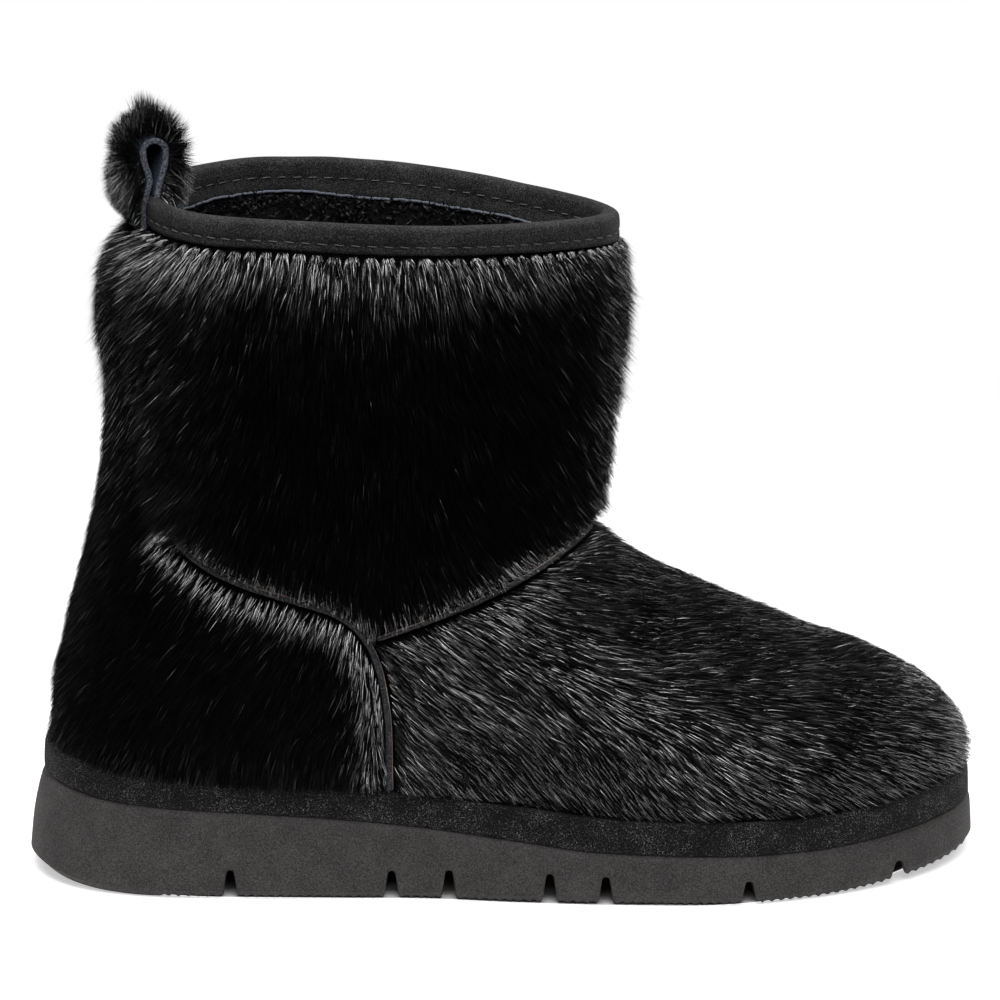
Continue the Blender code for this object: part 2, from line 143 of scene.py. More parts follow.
# fmt: off
SOLE = Table(
    "x top bottom",
    (-141, 29.8, 3.6), (-135, 29.5, 2.2), (-128, 28.6, 1.0), (-118, 27.3, 0.2), (-109, 26.7, 0.0),
    (-80, 25.2, 0.0), (-51, 23.4, 0.0), (-23, 20.6, 0.0), (0, 17.9, 0.0), (23, 15.1, 0.0),
    (51, 14.2, 0.0), (85, 13.9, 0.0), (112, 15.1, 1.2), (126, 16.0, 2.2), (140, 16.6, 3.6),
)
OUTLINE = Table(
    "share lateral medial",
    (0.00, 65.0, 64.0), (0.07, 57.0, 55.5), (0.12, 52.5, 51.0), (0.22, 45.6, 43.6),
    (0.30, 43.4, 39.0), (0.38, 42.7, 36.0), (0.50, 47.3, 38.0), (0.63, 54.0, 46.5),
    (0.76, 61.5, 55.0), (0.90, 63.4, 62.5), (1.00, 61.5, 62.5),
)
OUTSOLE_RINGS = Table(
    "order back front inset place offset",
    (0, -138.0, 137.4, 1.2, 0, 0.0),
    (1, -141.0, 138.4, 0.0, 0, 2.2),
    (2, -139.8, 138.2, 0.6, 0.5, 0.0),
    (3, -136.8, 137.7, 1.3, 1, -1.2),
    (4, -135.8, 136.8, 2.2, 1, 0.0),
)
MIDSOLE_RINGS = Table(
    "order back front inset rise",
    (0, -135.8, 136.7, 2.3, 0.0),
    (1, -136.5, 137.4, 1.6, 0.8),
    (2, -136.2, 137.1, 1.8, STRIP_HEIGHT - 1.6),
    (3, -134.8, 136.0, 3.2, STRIP_HEIGHT),
)
GROOVES = Table(
    "x depth",
    (-83.0, 8.0), (-36.5, 8.0), (-20.0, 8.5), (8.8, 8.5), (24.8, 8.0), (66.0, 6.5), (111.7, 5.0),
)
# The side outlines of the upper: heights and the X there.
BACK_LINE = (
    (35.5, -134.5), (50, -132.4), (62, -130.5), (76, -127.2), (91, -123.2), (105, -119.6),
    (117, -117.2), (141, -114.6), (169, -114.4), (178, -113.0), (186, -109.9), (192.9, -105.8),
)
FRONT_LINE = (
    (25.5, 136.0), (28, 135.5), (33, 134.2), (40.3, 131.0), (46.3, 126.3), (50.9, 120.6),
    (57.2, 108.9), (66, 85), (77, 61), (85.9, 43), (94, 31.6), (98, 27.4), (101.5, 25.4),
    (106, 24.9), (124, 27.4), (145.5, 29.9), (166, 32.6), (175, 32.9), (183.4, 32.7),
)
SIDE_COLUMNS = "level heel rear waist middle instep ball fore toe"
SIDE_SHARES = (0, 0.17, 0.34, 0.5, 0.66, 0.8, 0.9, 1)
SHAFT_SIDES = (
    (0.315, 60, 49.8, 44.7, 43.6, 43.6, 43.5, 41.5, 39),
    (0.406, 58, 49.3, 45.2, 43.8, 43.4, 41.5, 39, 36.5),
    (0.5, 56, 49.6, 46.2, 44.4, 43, 40.5, 37.8, 34.5),
    (0.74, 54.5, 50.9, 47.6, 45.6, 43.8, 41, 38.2, 35),
    (0.9, 55, 52.3, 48.3, 46.2, 44, 41, 38, 34.5),
    (1, 57.5, 53.2, 47.9, 44.6, 41.6, 37.5, 35.4, 34.8),
)
LATERAL = Table(
    SIDE_COLUMNS,
    (0, 62, 47.5, 40.8, 41.5, 51.5, 58.5, 60, 57),
    (0.073, 62.5, 48, 41.5, 42.5, 51, 58, 61.5, 60),
    (0.15, 62.5, 49, 42.8, 43.5, 49, 54.5, 55.5, 54),
    (0.224, 61.5, 49.7, 43.2, 43, 46.5, 49.5, 50, 49),
    *SHAFT_SIDES,
)
MEDIAL = Table(
    SIDE_COLUMNS,
    (0, 61, 45.5, 36.5, 34.5, 44, 53.5, 58.5, 58),
    (0.073, 61.5, 46.5, 38, 36.5, 45, 53, 58.5, 59),
    (0.15, 61.5, 47.6, 40.2, 38.8, 44.5, 51, 54, 53.5),
    (0.224, 61, 48.6, 41.5, 40.2, 43.5, 47.5, 49, 48.5),
    *SHAFT_SIDES,
)
TOE_SWING, SWING_START, SWING_LEVEL = 3.0, 40.0, 0.3
COLLAR = Table(
    "share fullness",
    (0.00, 57.0), (0.20, 51.6), (0.35, 46.7), (0.50, 43.8),
    (0.65, 41.0), (0.80, 36.7), (0.90, 34.6), (1.00, 34.0),
)
COUNTER_SEAM = Table(
    "z x",
    (189.0, -104.9), (180.0, -106.2), (165.0, -106.0), (145.0, -105.0), (124.0, -104.2),
    (117.2, -102.2), (110.5, -99.6), (104.4, -95.2), (99.2, -88.2), (94.4, -77.5),
    (90.0, -63.4), (86.3, -52.5), (81.0, -45.6), (73.0, -41.2), (62.5, -38.5),
    (50.0, -37.2), (31.0, -36.9),
)
# fmt: on
VAMP_SEAM_START, VAMP_SEAM_HEIGHT, VAMP_SEAM_RISE = -43.5, 77.5, 0.35


# ---------------------------------------------------------------- the boot's own surfaces


def share_of(turn):
    return (1 - np.cos(turn)) / 2


def feather(x):
    """Height of the line where the upper meets the midsole."""
    return SOLE.at("top", x) + GAP + STRIP_HEIGHT + GAP


def collar_height(x, turn=0.0):
    """Height of the collar's top, which falls to the front and is higher on the medial side."""
    medial = np.maximum(-np.sin(turn), 0)
    dip = BACK_DIP * (1 - MEDIAL_SPARE * np.sqrt(medial)) * COLLAR_DIPS(x)
    return COLLAR_HEIGHT - COLLAR_FALL * np.minimum(x, COLLAR_FRONT) + MEDIAL_RISE * medial**3 - dip


def shoulder(x, turn=0.0):
    """Height of the fur's upper edge, just under the binding."""
    return collar_height(x, turn) - SHOULDER_DROP


def level_of(x, z):
    return (z - feather(x)) / (shoulder(x) - feather(x))


def by_level(line):
    z, x = np.array(line, float).T
    return Table("level x", *zip(level_of(x, z), x))


BACK, FRONT = by_level(BACK_LINE), by_level(FRONT_LINE)


def side_fullness(turn, level):
    sides = []
    for side in (LATERAL, MEDIAL):
        rows = np.stack([side.at(name, level) for name in SIDE_COLUMNS.split()[1:]], -1)
        sides.append(monotone(SIDE_SHARES, rows, share_of(turn)))
    return np.where(np.sin(turn) >= 0, *sides)


def fur(turn, level):
    """Points of the upper's outer surface, which is the mean height of its hair."""
    back, front = BACK.at("x", level), FRONT.at("x", level)
    x = back + (front - back) * share_of(turn)
    swing = np.maximum(x - SWING_START, 0) / (FRONT.at("x", 0) - SWING_START)
    middle = TOE_SWING * swing**1.5 * np.maximum(1 - level / SWING_LEVEL, 0)
    y = middle - side_fullness(turn, level) * np.sin(turn)
    return np.stack((x, y, feather(x) + (shoulder(x, turn) - feather(x)) * level), -1)


def turn_at(x, z, side):
    """Turn and level of the fur at places of the side view; side is 1 lateral, -1 medial."""
    level = level_of(x, z)
    back, front = BACK.at("x", level), FRONT.at("x", level)
    share = np.clip((x - back) / (front - back), 0, 1)
    return side * np.arccos(1 - 2 * share) % TAU, level


def ring(turn, back, front, lateral, medial):
    """A ring's places in X and Y, from its ends and its fullness on either side."""
    fullness = np.where(np.sin(turn) >= 0, lateral, medial)
    return back + (front - back) * share_of(turn), -fullness * np.sin(turn)


def sole_ring(turn, back, front, inset):
    share = share_of(turn)
    lateral, medial = OUTLINE.at("lateral", share), OUTLINE.at("medial", share)
    return ring(turn, back, front, lateral - inset, medial - inset)


def unit(vectors):
    return vectors / np.linalg.norm(vectors, axis=-1, keepdims=True)


def around(count):
    return np.arange(count) * TAU / count


def collar(turn, inset, drop):
    """Points of the collar, inset from its outer outline and drop below its top."""

    def outline(at):
        fullness = COLLAR.at("fullness", share_of(at))
        return np.stack(ring(at, COLLAR_BACK, COLLAR_FRONT, fullness, fullness), -1)

    along = unit(outline(turn + 0.01) - outline(turn - 0.01))
    inset = np.broadcast_to(inset, turn.shape)
    x, y = (outline(turn) - np.stack((along[:, 1], -along[:, 0]), -1) * inset[:, None]).T
    return np.stack((x, y, collar_height(x, turn) - drop), -1)


class Skin:
    """The fur's outer surface on a fine grid, read anywhere between its points."""

    TURNS, LEVELS = 720, 240
    DENSER_OUTSIDE = 0.28  # how much closer the hair stands on the outer side

    def __init__(self):
        turn = np.linspace(0, TAU, self.TURNS + 1)
        level = np.linspace(0, 1, self.LEVELS + 1)
        places = np.meshgrid(turn, level, indexing="ij")
        shape = (self.TURNS + 1, self.LEVELS + 1, 3)
        self.points = fur(*(place.ravel() for place in places)).reshape(shape)
        wrapped = np.concatenate((self.points[-2:-1], self.points, self.points[1:2]))
        across = np.cross(wrapped[2:] - wrapped[:-2], np.gradient(self.points, axis=1))
        self.area = np.linalg.norm(across, axis=-1)
        self.normals = unit(across)

    def read(self, grid, turn, level):
        i, j = turn % TAU / TAU * self.TURNS, np.clip(level, 0, 1) * self.LEVELS
        low_i = np.minimum(i.astype(int), self.TURNS - 1)
        low_j = np.minimum(j.astype(int), self.LEVELS - 1)
        u, v = (i - low_i)[:, None], (j - low_j)[:, None]
        lower = grid[low_i, low_j] * (1 - u) + grid[low_i + 1, low_j] * u
        upper = grid[low_i, low_j + 1] * (1 - u) + grid[low_i + 1, low_j + 1] * u
        return lower * (1 - v) + upper * v

    def at(self, turn, level, depth=0.0):
        """Points that lie depth inside the surface, with the surface's normals."""
        normal = unit(self.read(self.normals, turn, level))
        depth = np.broadcast_to(depth, turn.shape)[:, None]
        return self.read(self.points, turn, level) - normal * depth, normal

    def ring_at(self, turn, level, depth=0.0):
        return self.at(turn, np.full_like(turn, level), depth)

    def scatter(self, count, rng):
        """Turns and levels of places spread over the surface, a little denser on its outer side."""
        denser = 1 + self.DENSER_OUTSIDE * np.sin(around(self.TURNS))
        area = (self.area[:-1, :-1] * denser[:, None]).ravel()
        i, j = np.divmod(rng.choice(area.size, count, p=area / area.sum()), self.LEVELS)
        turn = (i + rng.random(count)) * TAU / self.TURNS
        return turn, (j + rng.random(count)) / self.LEVELS


def counter_line(side):
    """Turns and levels along the heel counter's seam, from the collar down to the sole."""
    z = np.linspace(COUNTER_SEAM.key[-1], COUNTER_SEAM.key[0] - 2, 320)
    return turn_at(COUNTER_SEAM.at("x", z), z, side)


def vamp_line(clearance):
    """Turns and levels along the vamp's seam, over the instep from one side to the other."""
    start = turn_at(VAMP_SEAM_START + clearance, VAMP_SEAM_HEIGHT, 1)[0][0]
    turn = np.linspace(start, TAU - start, 260)
    low, high = np.zeros_like(turn), np.ones_like(turn)
    for _ in range(24):
        level = (low + high) / 2
        over = above_vamp_seam(fur(turn, level)) > 0
        low, high = np.where(over, low, level), np.where(over, level, high)
    return turn, level


def above_vamp_seam(points):
    return points[:, 2] - VAMP_SEAM_HEIGHT - VAMP_SEAM_RISE * (points[:, 0] - VAMP_SEAM_START)


def before_counter_seam(points):
    """How far in front of the counter's seam points lie in the side view."""
    return points[:, 0] - COUNTER_SEAM.at("x", points[:, 2])


class Seams:
    """The seams as one cloud of points, asked for the way to the nearest place."""

    HIDDEN = Ramp(107, 10)  # heights where hair covers the seams up the boot's back

    def __init__(self, skin):
        lines = [counter_line(1), counter_line(-1), vamp_line(0)]
        self.points = np.concatenate([skin.at(*line)[0] for line in lines])
        self.tree = kdtree.KDTree(len(self.points))
        for i, point in enumerate(self.points):
            self.tree.insert(point, i)
        self.tree.balance()

    def nearest(self, points):
        """The way to the nearest seam and its length, made longer where hair covers the seam."""
        index = np.array([self.tree.find(point)[1] for point in points])
        way = self.points[index] - points
        return way, np.linalg.norm(way, axis=1) + 12 * self.HIDDEN(points[:, 2])


# ---------------------------------------------------------------- meshes


def to_scene(points):
    return (points + CENTRE) * MM


def mesh_piece(name, points, faces, material):
    """A piece from arrays: points (..., 3) in millimetres and faces (F, 3 or 4) of indices."""
    points = np.reshape(points, (-1, 3))
    mesh = bpy.data.meshes.new(name)
    mesh.vertices.add(len(points))
    mesh.vertices.foreach_set("co", to_scene(points).astype(np.float32).ravel())
    mesh.loops.add(faces.size)
    mesh.loops.foreach_set("vertex_index", faces.astype(np.int32).ravel())
    mesh.polygons.add(len(faces))
    mesh.polygons.foreach_set("loop_start", np.arange(0, faces.size, faces.shape[1]))
    mesh.update(calc_edges=True)
    mesh.polygons.foreach_set("use_smooth", [True] * len(faces))
    mesh.materials.append(material)
    piece = bpy.data.objects.new(name, mesh)
    bpy.context.scene.collection.objects.link(piece)
    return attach(piece, "root")


def band(rings, columns, closed=False):
    """Quads between neighbouring rings of vertices; closed joins the last ring to the first."""
    here = np.arange(columns)
    after = np.roll(here, -1)
    low = np.arange(rings if closed else rings - 1)[:, None] * columns
    high = (low + columns) % (rings * columns)
    return np.stack((low + here, low + after, high + after, high + here), -1).reshape(-1, 4)


def rungs(ring, columns):
    """Quads across a ring whose two sides share their X, as the rungs of a ladder."""
    i = np.arange(columns // 2)
    corners = (i, i + 1, columns - i - 1, (columns - i) % columns)
    return np.stack(corners, -1) + ring * columns


def ring_piece(name, rings, material, closed=False):
    """A piece whose skin runs from each ring of points to the next one."""
    rings = np.asarray(rings)
    return mesh_piece(name, rings, band(*rings.shape[:2], closed), material)


def circle(radius, sides):
    return [(radius * math.cos(angle), radius * math.sin(angle)) for angle in around(sides)]


def sweep(path, side, up, section, ends=None):
    """Rings of a section along a path; ends scales the section at each place of the path."""
    scale = np.ones(len(path)) if ends is None else ends
    across, height = np.asarray(section, float).T
    offsets = side[:, None] * across[None, :, None] + up[:, None] * height[None, :, None]
    return path[:, None] + offsets * scale[:, None, None]


def level_frame(along):
    """For ways along a nearly level path: the ways to its side and up."""
    side = unit(np.cross(along, (0, 0, 1)))
    return side, np.cross(side, along)


def tapered(count, share, least=0.05):
    """Scales that close the ends of a swept tube."""
    place = np.linspace(0, 1, count)
    edge = np.minimum(place, 1 - place) / share
    return least + (1 - least) * np.sqrt(np.clip(1 - (1 - np.minimum(edge, 1)) ** 2, 0, 1))


def noise_at(points, size):
    """A smooth random value at each point, whose lumps are about size wide."""
    return np.array([noise.noise(Vector(point) / size) for point in points])


# ---------------------------------------------------------------- materials


# fmt: off
SPECKLED = {  # colour, contrast, grain, bump, roughness, gloss, spread, painted glint
    "rubber": ((0.036, 0.0335, 0.033), 0.9, 0.42, 0.12, 0.75, 0.25, 0.12, None),
    "suede": ((0.0029, 0.0027, 0.0030), 4.5, 0.36, 0.3, 0.9, 0.2, 0.095, (0.17, 0.167, 0.167)),
    "nubuck": ((0.0205, 0.0199, 0.0204), 2.4, 0.4, 0.2, 0.9, 0.25, 0.12, None),
    "piping": ((0.023, 0.0238, 0.0265), 2.2, 0.5, 0.25, 0.75, 0.3, 0.1, None),
    "strap_leather": ((0.026, 0.033, 0.052), 1.5, 0.5, 0.3, 0.8, 0.2, 0.12, None),
    "cut_edge": ((0.105, 0.112, 0.135), 1.2, 0.5, 0.4, 0.85, 0.2, 0.09, None),
}
PLAIN = {  # colour, roughness, grain, bump, gloss
    "undercoat": ((0.0008, 0.0008, 0.0008), 0.95, 0.6, 0.2, 0.05),
    "fleece": ((0.0075, 0.0075, 0.0078), 0.95, 0.5, 0.3, 0.2),
    "raw_edge": ((0.32, 0.24, 0.21), 0.8, 0.6, 0.1, 0.5),
    "facing_edge": ((0.13, 0.14, 0.17), 0.9, 0.5, 0.2, 0.2),
    "thread": ((0.085, 0.086, 0.09), 0.7, 0.3, 0.1, 0.5),
}
HAIR_FINISHES = {  # roughness, gloss, IOR, then the colours of the hairs' tints from 0 to 1
    "guard_hair": (
        0.18, 1.0, 1.8,
        (0, (0.0006, 0.0006, 0.0007)), (0.6, (0.0012, 0.0012, 0.0013)),
        (0.88, (0.0026, 0.0026, 0.0026)), (1, (0.008, 0.0078, 0.0075)),
    ),
    "soft_hair": (0.3, 0.6, 1.5, (0, (0.0006, 0.0006, 0.0007)), (1, (0.0018, 0.0018, 0.0019))),
    "underfur": (0.4, 0.1, 1.5, (0, (0.0005, 0.0005, 0.0006)), (1, (0.0014, 0.0013, 0.0013))),
    "loop_hair": (
        0.22, 1.0, 1.6,
        (0, (0.0008, 0.0007, 0.0007)), (0.45, (0.0020, 0.0018, 0.0017)),
        (0.8, (0.005, 0.0046, 0.0045)), (1, (0.018, 0.0168, 0.0165)),
    ),
    "fleece_curls": (
        0.6, 0.35, 1.5,
        (0, (0.0016, 0.0016, 0.0017)), (0.7, (0.0050, 0.0050, 0.0052)), (1, (0.008, 0.008, 0.008)),
    ),
}
# fmt: on
BLOTCH_SIZE, BLOTCH_SHARE = 9, 0.2  # of the slow changes in a speckled colour
GRAIN_MIDDLE, PAINTED_GLINT_AT = 0.6, 1.8  # the grain's mean, and how many spreads above it the painted glints start

MAP_NAME = "OFBake"  # across it a hair's tint, and up it the way along the hair
MAP_ROWS, ROW_FILL = 6, 0.9
MAP_STEP = 1.4 / 1024  # a hair's width on the map
ROOT_SHADE_TIP_LIGHT = ((0.0, 0.45), (ROW_FILL * 0.55, 0.9), (ROW_FILL, 1.35))  # painted shade at the root, deep in the fur, and painted light at the paler tip


class Shader:
    """A material's nodes, added with few words. A socket given as a value is linked."""

    def __init__(self, name, **settings):
        self.material = bpy.data.materials.new(name)
        self.material.use_nodes = True
        self.nodes = self.material.node_tree.nodes
        self.links = self.material.node_tree.links
        self.surface = self.nodes["Principled BSDF"]
        self.set(self.surface, settings)

    def set(self, node, values):
        for name, value in values.items():
            socket = node.inputs[name]
            if isinstance(value, bpy.types.NodeSocket):
                self.links.new(value, socket)
            else:
                socket.default_value = value

    def add(self, kind, values=None, **settings):
        node = self.nodes.new(kind)
        for name, value in settings.items():
            setattr(node, name, value)
        self.set(node, values or {})
        return node

    def noise(self, size, detail, roughness=0.55):
        """Noise on the boot's own places, whose lumps are size millimetres wide."""
        place = self.add("ShaderNodeTexCoord").outputs["Object"]
        mapping = self.add("ShaderNodeMapping", {"Vector": place, "Scale": (1 / MM,) * 3})
        values = {
            "Vector": mapping.outputs["Vector"],
            "Scale": 1 / size,
            "Detail": detail,
            "Roughness": roughness,
        }
        return self.add("ShaderNodeTexNoise", values).outputs["Fac"]

    def maths(self, operation, *values):
        node = self.add("ShaderNodeMath", operation=operation)
        self.set(node, dict(enumerate(values)))
        return node.outputs[0]

    def ramp(self, factor, *stops):
        """A colour ramp: each stop is a position and a linear colour or one grey."""
        node = self.add("ShaderNodeValToRGB", {"Fac": factor})
        elements = node.color_ramp.elements
        while len(elements) < len(stops):
            elements.new(0.5)
        for element, (position, colour) in zip(elements, stops):
            element.position = position
            element.color = (*colour, 1) if isinstance(colour, tuple) else (colour,) * 3 + (1,)
        return node.outputs["Color"]

    def finish(self, colour, height=None, depth=0.0):
        """The material, with its colour and with bumps depth millimetres deep from height."""
        self.set(self.surface, {"Base Color": colour})
        if height:
            bump = self.add("ShaderNodeBump", {"Height": height, "Distance": depth * MM})
            self.set(self.surface, {"Normal": bump.outputs["Normal"]})
        return self.material


def tinted(colour, factor):
    return tuple(value * factor for value in colour)


def speckled_material(name):
    """A matt material with fine grain: rubber foam, suede or nubuck, the suede with painted glints.
    """
    colour, contrast, grain, bump, roughness, gloss, spread, painted_glint = SPECKLED[name]
    shader = Shader(name, **{"Roughness": roughness, "Specular IOR Level": gloss})
    blotches, grains = shader.noise(BLOTCH_SIZE, 2), shader.noise(grain, 2, 0.7)
    mixed = shader.maths("MULTIPLY_ADD", blotches, BLOTCH_SHARE, grains)
    low, high = tinted(colour, 1 / (1 + contrast)), tinted(colour, 1 + contrast)
    stops = [(GRAIN_MIDDLE - spread, low), (GRAIN_MIDDLE, colour), (GRAIN_MIDDLE + spread, high)]
    # painted glints: bright spots in the colour where the suede's fibres would catch the light
    if painted_glint:
        stops.append((GRAIN_MIDDLE + PAINTED_GLINT_AT * spread, painted_glint))
    return shader.finish(shader.ramp(mixed, *stops), shader.noise(grain, 2, 0.7), bump)


def plain_material(name):
    """A nearly even colour with a little grain."""
    colour, roughness, grain, bump, gloss = PLAIN[name]
    shader = Shader(name, **{"Roughness": roughness, "Specular IOR Level": gloss})
    grains = shader.noise(grain, 2)
    stops = ((0.3, tinted(colour, 0.75)), (0.7, tinted(colour, 1.25)))
    return shader.finish(shader.ramp(grains, *stops), grains, bump)


def hair_material(name):
    """Hair: its colour comes from its tint, with painted shade darkening its root and painted light
    paling it towards its tip.
    """
    roughness, gloss, ior, *tints = HAIR_FINISHES[name]
    settings = {"Roughness": roughness, "Specular IOR Level": gloss, "IOR": ior}
    shader = Shader(name, **settings)
    place = shader.add("ShaderNodeUVMap", uv_map=MAP_NAME).outputs["UV"]
    axes = shader.add("ShaderNodeSeparateXYZ", {"Vector": place})
    tint = shader.ramp(axes.outputs["X"], *tints)
    row = shader.maths("FRACT", shader.maths("MULTIPLY", axes.outputs["Y"], MAP_ROWS))
    # painted shade at the hair's root and painted light at its tip
    along = shader.ramp(row, *ROOT_SHADE_TIP_LIGHT)
    mixed = shader.add("ShaderNodeMix", data_type="RGBA", blend_type="MULTIPLY")
    shader.set(mixed, {0: 1, 6: tint, 7: along})  # the factor and both colours
    return shader.finish(mixed.outputs[2])


def all_materials():
    finish = {name: hair_material(name) for name in HAIR_FINISHES}
    finish.update((name, speckled_material(name)) for name in SPECKLED)
    finish.update((name, plain_material(name)) for name in PLAIN)
    return finish


# ---------------------------------------------------------------- hair


def waves(points, size, rng, count=7):
    """A smooth random value from about -1 to 1, whose waves are about size long."""
    ways = unit(rng.normal(size=(count, 3))) * TAU / (size * rng.uniform(0.7, 1.5, (count, 1)))
    phases = rng.uniform(0, TAU, count)
    return np.sin(points @ ways.T + phases).sum(1) * math.sqrt(2 / count) / 1.4


def along_surface(vectors, normal):
    """The vectors' ways in the plane that the normals stand on."""
    return unit(vectors - normal * (vectors * normal).sum(1)[:, None])


def hairs(root, heading, normal, length, rise, lie, width, twist, bend=0.5):
    """Kites of four points: root, left, right and tip.

    A hair leaves the hide at the angle rise, and from its widest place on it lies at the angle
    lie. All angles are degrees. bend is the share of its length before its widest place.
    """
    across = unit(np.cross(heading, normal))
    standing = np.cross(across, heading)

    def way(degrees):
        angle = np.radians(degrees)
        return heading * np.cos(angle)[:, None] + standing * np.sin(angle)[:, None]

    first, last = way(rise), way(lie)
    middle = root + first * (length * bend)[:, None]
    tip = middle + last * (length * (1 - bend))[:, None]
    flat = np.cross(unit(first + last), across)
    twist = np.radians(twist)
    edge = across * np.cos(twist)[:, None] + flat * np.sin(twist)[:, None]
    half = edge * (width / 2)[:, None]
    return np.stack((root, middle - half, middle + half, tip), 1)


def cell_of(points, size):
    """One whole number for each cell of a grid."""
    return np.floor(points / size).astype(np.int64) @ (1, 4099, 4099**2)


def numbered(keys):
    return np.unique(keys, return_inverse=True)[1]


WIDEST_DRAWN = 0.4  # how far a hair's widest place follows its tip


def gathered(points, lock, pull):
    """Hairs with their tips drawn towards the middle of their lock's tips, as wet hairs are."""
    tips = points[:, 3]
    count = np.bincount(lock)
    middle = np.stack([np.bincount(lock, tips[:, axis]) for axis in range(3)], -1)
    drawn = (middle[lock] / count[lock, None] - tips) * pull[:, None]
    points[:, 3] += drawn
    points[:, 1:3] += drawn[:, None] * WIDEST_DRAWN
    return points


def hair_piece(name, points, tint, material, rng):
    """One mesh of hairs. Its map holds each hair's tint and the way along it."""
    first = np.arange(len(points))[:, None] * 4
    faces = np.concatenate((first + (0, 2, 1), first + (1, 2, 3)), axis=1).reshape(-1, 3)
    piece = mesh_piece(name, points, faces, material)
    along = np.array((0, 0.5, 0.5, 1))[faces % 4] * ROW_FILL
    across = np.array((0.5, 0, 1, 0.5))[faces % 4] * MAP_STEP
    owner = faces // 4
    row = rng.integers(0, MAP_ROWS, len(points))
    places = np.stack((tint[owner] * (1 - MAP_STEP) + across, (row[owner] + along) / MAP_ROWS), -1)
    layer = piece.data.uv_layers.new(name=MAP_NAME)
    layer.uv.foreach_set("vector", places.astype(np.float32).ravel())
    return piece


# Places tried all over, of which about six in ten are kept, more of them beside seams, and
# places tried in tufts right under the binding.
HAIRS, EDGE_HAIRS = 545_000, 17_000
HAIRS_IN_PIECE = 98_000  # two triangles each

# The hide. Ramps are along X, up Z or over the upper's levels, as their names say.
HIDE_DEPTH, HIDE_EDGE = 0.5, 1.1  # under the fur's mean surface, and at the upper's two edges
SEAM_PULL, SEAM_REACH = 1.2, 3.6  # how much deeper a seam pulls the hide, and how far from it
SLOPE_SEEN = 1.7  # how much more the hair follows that slope than the hide has it
SLOPE_LEFT = 0.25  # of it, where hair runs into a seam
VAMP_PLUMP, REAR_PLUMP = 1.5, 2.6  # how much higher the hide lies over the toes, under the loop
PLUMP_VAMP_X, PLUMP_VAMP_Z = Ramp(20, 30), Ramp(100, -10)
PLUMP_REAR_X, PLUMP_REAR_LEVEL, PLUMP_END_LEVEL = Ramp(-97, -10), Ramp(0.7, 0.16), Ramp(1, -0.04)
TOP_LEVEL, FOOT_LEVEL = Ramp(1, -0.1), Ramp(0, 0.09)
SWELL, SWELL_REACH = 0.45, 8  # how the hide's face turns up towards the binding
ROUGH, ROUGH_SIZE = 0.05, 15  # and wanders

# Which way the hair runs: its lean from straight down towards the toe, in the side view.
SHAFT, COUNTER, VAMP = range(3)
PANELS = ("shaft_fur", "counter_fur", "vamp_fur")  # all rows of three below are in this order
# fmt: off
LEANS = (
    Table(
        "x lean",
        (-112, -43), (-100, -42), (-88, -33), (-76, -18), (-64, -9), (-52, -3), (-40, 1),
        (-28, 8), (-16, 18), (-5, 27), (7, 33), (19, 38), (34, 42),
    ),
    Table("x lean", (-136, -44), (-108, -37), (-85, -30), (-60, -25), (-38, -12)),
    Table("x lean", (-37, 50), (-28, 50), (0, 49), (80, 50), (135, 52)),
)
# fmt: on
LEAN_OVER_INSTEP, INSTEP_Z = 4, Ramp(42, 25)  # how much more the vamp's hair leans up there
STRAIGHT = 0.6  # how much less hair leans right under the binding and over the counter's foot
STRAIGHT_REACH, STRAIGHT_X, COUNTER_FOOT = 18, Ramp(30, -18), Ramp(22, -20)
LEAN_WAVES = ((6, 34), (3, 13))  # how far the lean wanders, and over what length
TO_INNER_SIDE = 0.55  # how far the vamp's hair turns to the inner side
STAND_OFF = (0.8, 0.45, 0.6)  # how much of the lean away from the hide the hair keeps

# How many hairs of each kind, and where.
GUARD_SHARE, SOFT_SHARE = (0.002, 0.001, 0.34), (0.09, 0.018, 0.04)
SEAM_SHARE, TOP_SHARE = (0.9, 0.9, 0.15), 0.5  # guard hairs beside a seam and the binding
GUARD_PATCHES = (  # more guard hairs, where a ramp along X and one up Z meet
    (0.27, Ramp(-78, -18), Ramp(110, 40)),
    (0.16, Ramp(90, 15), Ramp(62, -10)),
    (0.12, Ramp(12, 14), Ramp(90, 20)),
)
TOES_LOOK_UP = Ramp(0.2, 0.45)  # over the normal's height
FEW_ON_TOES = 0.9  # of the guard hairs left out there
SOFT = Values(toes=0.24, top=0.35, top_reach=24, seam=0.25, seam_reach=9, back=0.45, foot=0.4)
SOFT_BACK, SOFT_FOOT = Ramp(-74, -22), Ramp(15, -12)
FROM_BACK = Ramp(-102, 16)  # along X: the collar's hair is less glossy at the very back
SEAM_CROWD, CROWD_REACH = 0.7, 4.0  # how much denser the hair stands beside a seam
SEAM_BARE, SEAM_RAGGED = 1.15, 0.35  # half the bare width on a seam, and its unevenness

